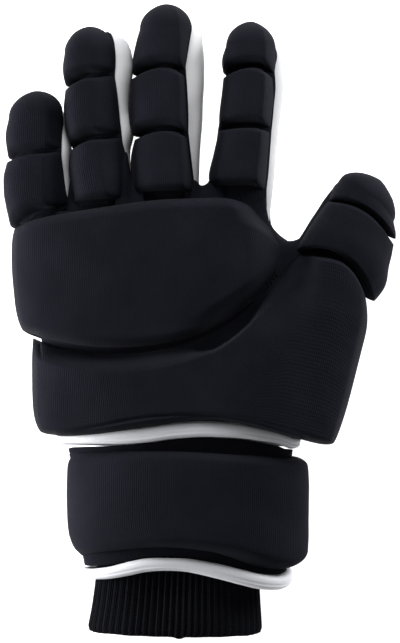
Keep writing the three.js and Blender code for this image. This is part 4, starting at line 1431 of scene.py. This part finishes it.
class GLOVE_OT_filling(bpy.types.Operator):
    """Let their filling swell the pads a little, by cloth simulation"""

    bl_idname = "glove.filling"
    bl_label = "Filling"

    def execute(self, context):
        for name in SWOLLEN_BROAD:
            swell(bpy.data.objects[name], *SWOLLEN_BROAD_MESH)
        for name in PADS:
            swell(bpy.data.objects[f"{name}_cloth"], *SWOLLEN_SMALL_MESH)
        context.scene.frame_set(1)
        return {"FINISHED"}


def fold(across, depth, power, root):
    """How far a binding stands out from its ring, at a place across it from -1 to 1."""
    return depth * max(1 - abs(across) ** power, 0) ** root


class GLOVE_OT_bindings(bpy.types.Operator):
    """Fold the white bindings over the wrist edge and the cuff's edge"""

    bl_idname = "glove.bindings"
    bl_label = "Bindings"

    def execute(self, context):
        for name, row, form in (("upper_binding", UPPER_BINDING, UPPER_BINDING_FORM),
                                ("lower_binding", LOWER_BINDING, LOWER_BINDING_FORM)):
            y, *ring = row
            ring.append(BINDING_FLOOR)
            turns = even_turns(*ring)

            def place(u, v, y=y, ring=ring, form=form, turns=turns):
                turn = turns(u)
                x, z = oval_point(turn, *ring)
                ahead_x, ahead_z = oval_point(turn + BINDING_STEP, *ring)
                behind_x, behind_z = oval_point(turn - BINDING_STEP, *ring)
                out = Vector((ahead_z - behind_z, 0, behind_x - ahead_x))
                out = out.normalized() if out.length > TINY else Vector((0, 0, -1))
                across = -math.cos(2 * math.pi * v)
                if v < 0.5:
                    depth, sewn, width = BINDING_LINE
                    deep = fold(across, *BINDING_OUTSIDE) - depth * bell(across - sewn, width)
                else:
                    deep = fold(across, *BINDING_INSIDE)
                rise, half = form.at(x)
                middle = y + rise * smooth(WAVE_START, WAVE_FULL, z)
                point = Vector((x, middle + across * half, z)) + out * deep
                point.z = max(point.z, 0.0)
                return point

            bm = bmesh.new()
            grid(bm, BINDING_GRID, place)
            piece(bm, f"{name}_tape", "white_binding", (name,))
        return {"FINISHED"}


class GLOVE_OT_knit_cuff(bpy.types.Operator):
    """Knit the ribbed cuff"""

    bl_idname = "glove.knit_cuff"
    bl_label = "Knit cuff"

    def execute(self, context):
        sizes = context.scene.glove_sizes
        profile = Profile(KNIT_ROWS)
        start, stop = KNIT_ROWS[0][0], KNIT_ROWS[-1][0]
        turns = even_turns(*KNIT_RING, KNIT_POWER)

        def open_edge(x, z, side):
            rise = HEM_RISE + HEM_SIDE * side ** 2 + HEM_END * side ** 10
            nub, nub_x, nub_width, nub_height = HEM_NUB
            rise -= nub * (bell(x - nub_x, nub_width) if z > nub_height else 0)
            return rise - HEM_TILT * (x - HEM_TILT_FROM) + crumpled(x, 0, z, *HEM_CRUMPLE)

        def place(u, v):
            outer = v < KNIT_OUTSIDE
            y = mix(start, stop, v / KNIT_OUTSIDE if outer else (1 - v) / KNIT_INSIDE)
            left, right, top, floor = profile.at(y)
            x, z = oval_point(turns(u), left, right, top, floor, KNIT_POWER)
            middle = Vector(((left + right) / 2, y, (top + floor) / 2))
            point = Vector((x, y, z))
            inward = (middle - point).normalized()
            rib = abs(math.sin(math.pi * sizes.knit_ribs * u))
            wall = KNIT_SKIN + sizes.knit_depth * (1 - rib ** KNIT_RIB_POWER)
            hem = 1 - smooth(0, HEM_LENGTH, y - start)
            ease = 1 - smooth(0, HEM_EASE, y - start)
            point.y += ease * open_edge(x, z, abs(2 * (x - middle.x) / (right - left)))
            if outer:
                return point + inward * (wall + hem * HEM_TUCK)
            return point + inward * (KNIT_WALL - hem * HEM_TUCK)

        bm = bmesh.new()
        grid(bm, (sizes.knit_ribs * KNIT_FACES_PER_RIB, KNIT_FACES_ALONG), place)
        piece(bm, "knit_cuff_ribs", "black_knit", ("knit_cuff",))
        return {"FINISHED"}


class GLOVE_OT_stage(bpy.types.Operator):
    """Set the floor, the lamps and the camera"""

    bl_idname = "glove.stage"
    bl_label = "Stage"

    def execute(self, context):
        scene = context.scene
        stage = scene.glove_stage
        bm = bmesh.new()
        bmesh.ops.create_grid(bm, x_segments=1, y_segments=1, size=FLOOR_SIZE)
        bmesh.ops.translate(bm, vec=(0, 0, -FLOOR_DROP), verts=bm.verts)
        pale = floor_finish("pale_floor", scene.glove_colours.floor, stage.floor_glow)
        floor = mesh_object(bm, "floor", pale)

        for name, spot, size in LAMPS:
            lamp = bpy.data.lights.new(f"{name}_softbox", "AREA")
            lamp.shape = "RECTANGLE"
            lamp.size, lamp.size_y = size
            lamp.energy = getattr(stage, f"{name}_power")
            made = bpy.data.objects.new(lamp.name, lamp)
            made.location = spot
            made.rotation_euler = (-Vector(spot)).to_track_quat("-Z", "Y").to_euler()
            scene.collection.objects.link(made)

        world = bpy.data.worlds.new("studio")
        world.use_nodes = True
        backdrop = world.node_tree.nodes["Background"]
        backdrop.inputs["Color"].default_value = WHITE
        backdrop.inputs["Strength"].default_value = stage.sky
        scene.world = world
        scene.view_settings.view_transform = "Standard"

        camera = bpy.data.cameras.new("camera")
        camera.sensor_width = SENSOR_WIDTH
        camera.lens = camera.sensor_width * (stage.camera_height - TRUE_SIZE_HEIGHT) / stage.view_height
        camera.clip_start, camera.clip_end = CAMERA_RANGE
        shot = bpy.data.objects.new("camera", camera)
        shot.location = (*CAMERA_PLACE, stage.camera_height)
        scene.collection.objects.link(shot)
        scene.camera = shot
        return {"FINISHED"}


class GLOVE_PT_panel(bpy.types.Panel):
    """The glove's pieces, sizes and colours"""

    bl_label = "Padded glove"
    bl_idname = "GLOVE_PT_panel"
    bl_space_type = "VIEW_3D"
    bl_region_type = "UI"
    bl_category = "Glove"

    def draw(self, context):
        layout = self.layout
        for operator in OPERATORS:
            layout.operator(operator.bl_idname)
        for group in (context.scene.glove_sizes, context.scene.glove_colours, context.scene.glove_stage):
            box = layout.box()
            for key in group.bl_rna.properties.keys():
                if key not in ("rna_type", "name"):
                    box.prop(group, key)


GROUPS = (GloveSizes, GloveColours, GloveStage)
OPERATORS = (
    GLOVE_OT_stage, GLOVE_OT_stalls, GLOVE_OT_covers, GLOVE_OT_finger_pads, GLOVE_OT_knuckle_pad,
    GLOVE_OT_hand_pad, GLOVE_OT_palm, GLOVE_OT_webs, GLOVE_OT_cuff, GLOVE_OT_filling, GLOVE_OT_stitches,
    GLOVE_OT_bindings, GLOVE_OT_knit_cuff,
)


def register():
    """Registers the add-on's classes and its settings."""
    for cls in (*GROUPS, *OPERATORS, GLOVE_PT_panel):
        bpy.utils.register_class(cls)
    bpy.types.Scene.glove_sizes = PointerProperty(type=GloveSizes)
    bpy.types.Scene.glove_colours = PointerProperty(type=GloveColours)
    bpy.types.Scene.glove_stage = PointerProperty(type=GloveStage)


def unregister():
    """Removes the add-on's settings and classes."""
    del bpy.types.Scene.glove_sizes, bpy.types.Scene.glove_colours, bpy.types.Scene.glove_stage
    for cls in (GLOVE_PT_panel, *OPERATORS, *GROUPS):
        bpy.utils.unregister_class(cls)


def main():
    """Builds the whole glove."""
    register()
    for operator in OPERATORS:
        family, name = operator.bl_idname.split(".")
        getattr(getattr(bpy.ops, family), name)()


if __name__ == "__main__":
    main()
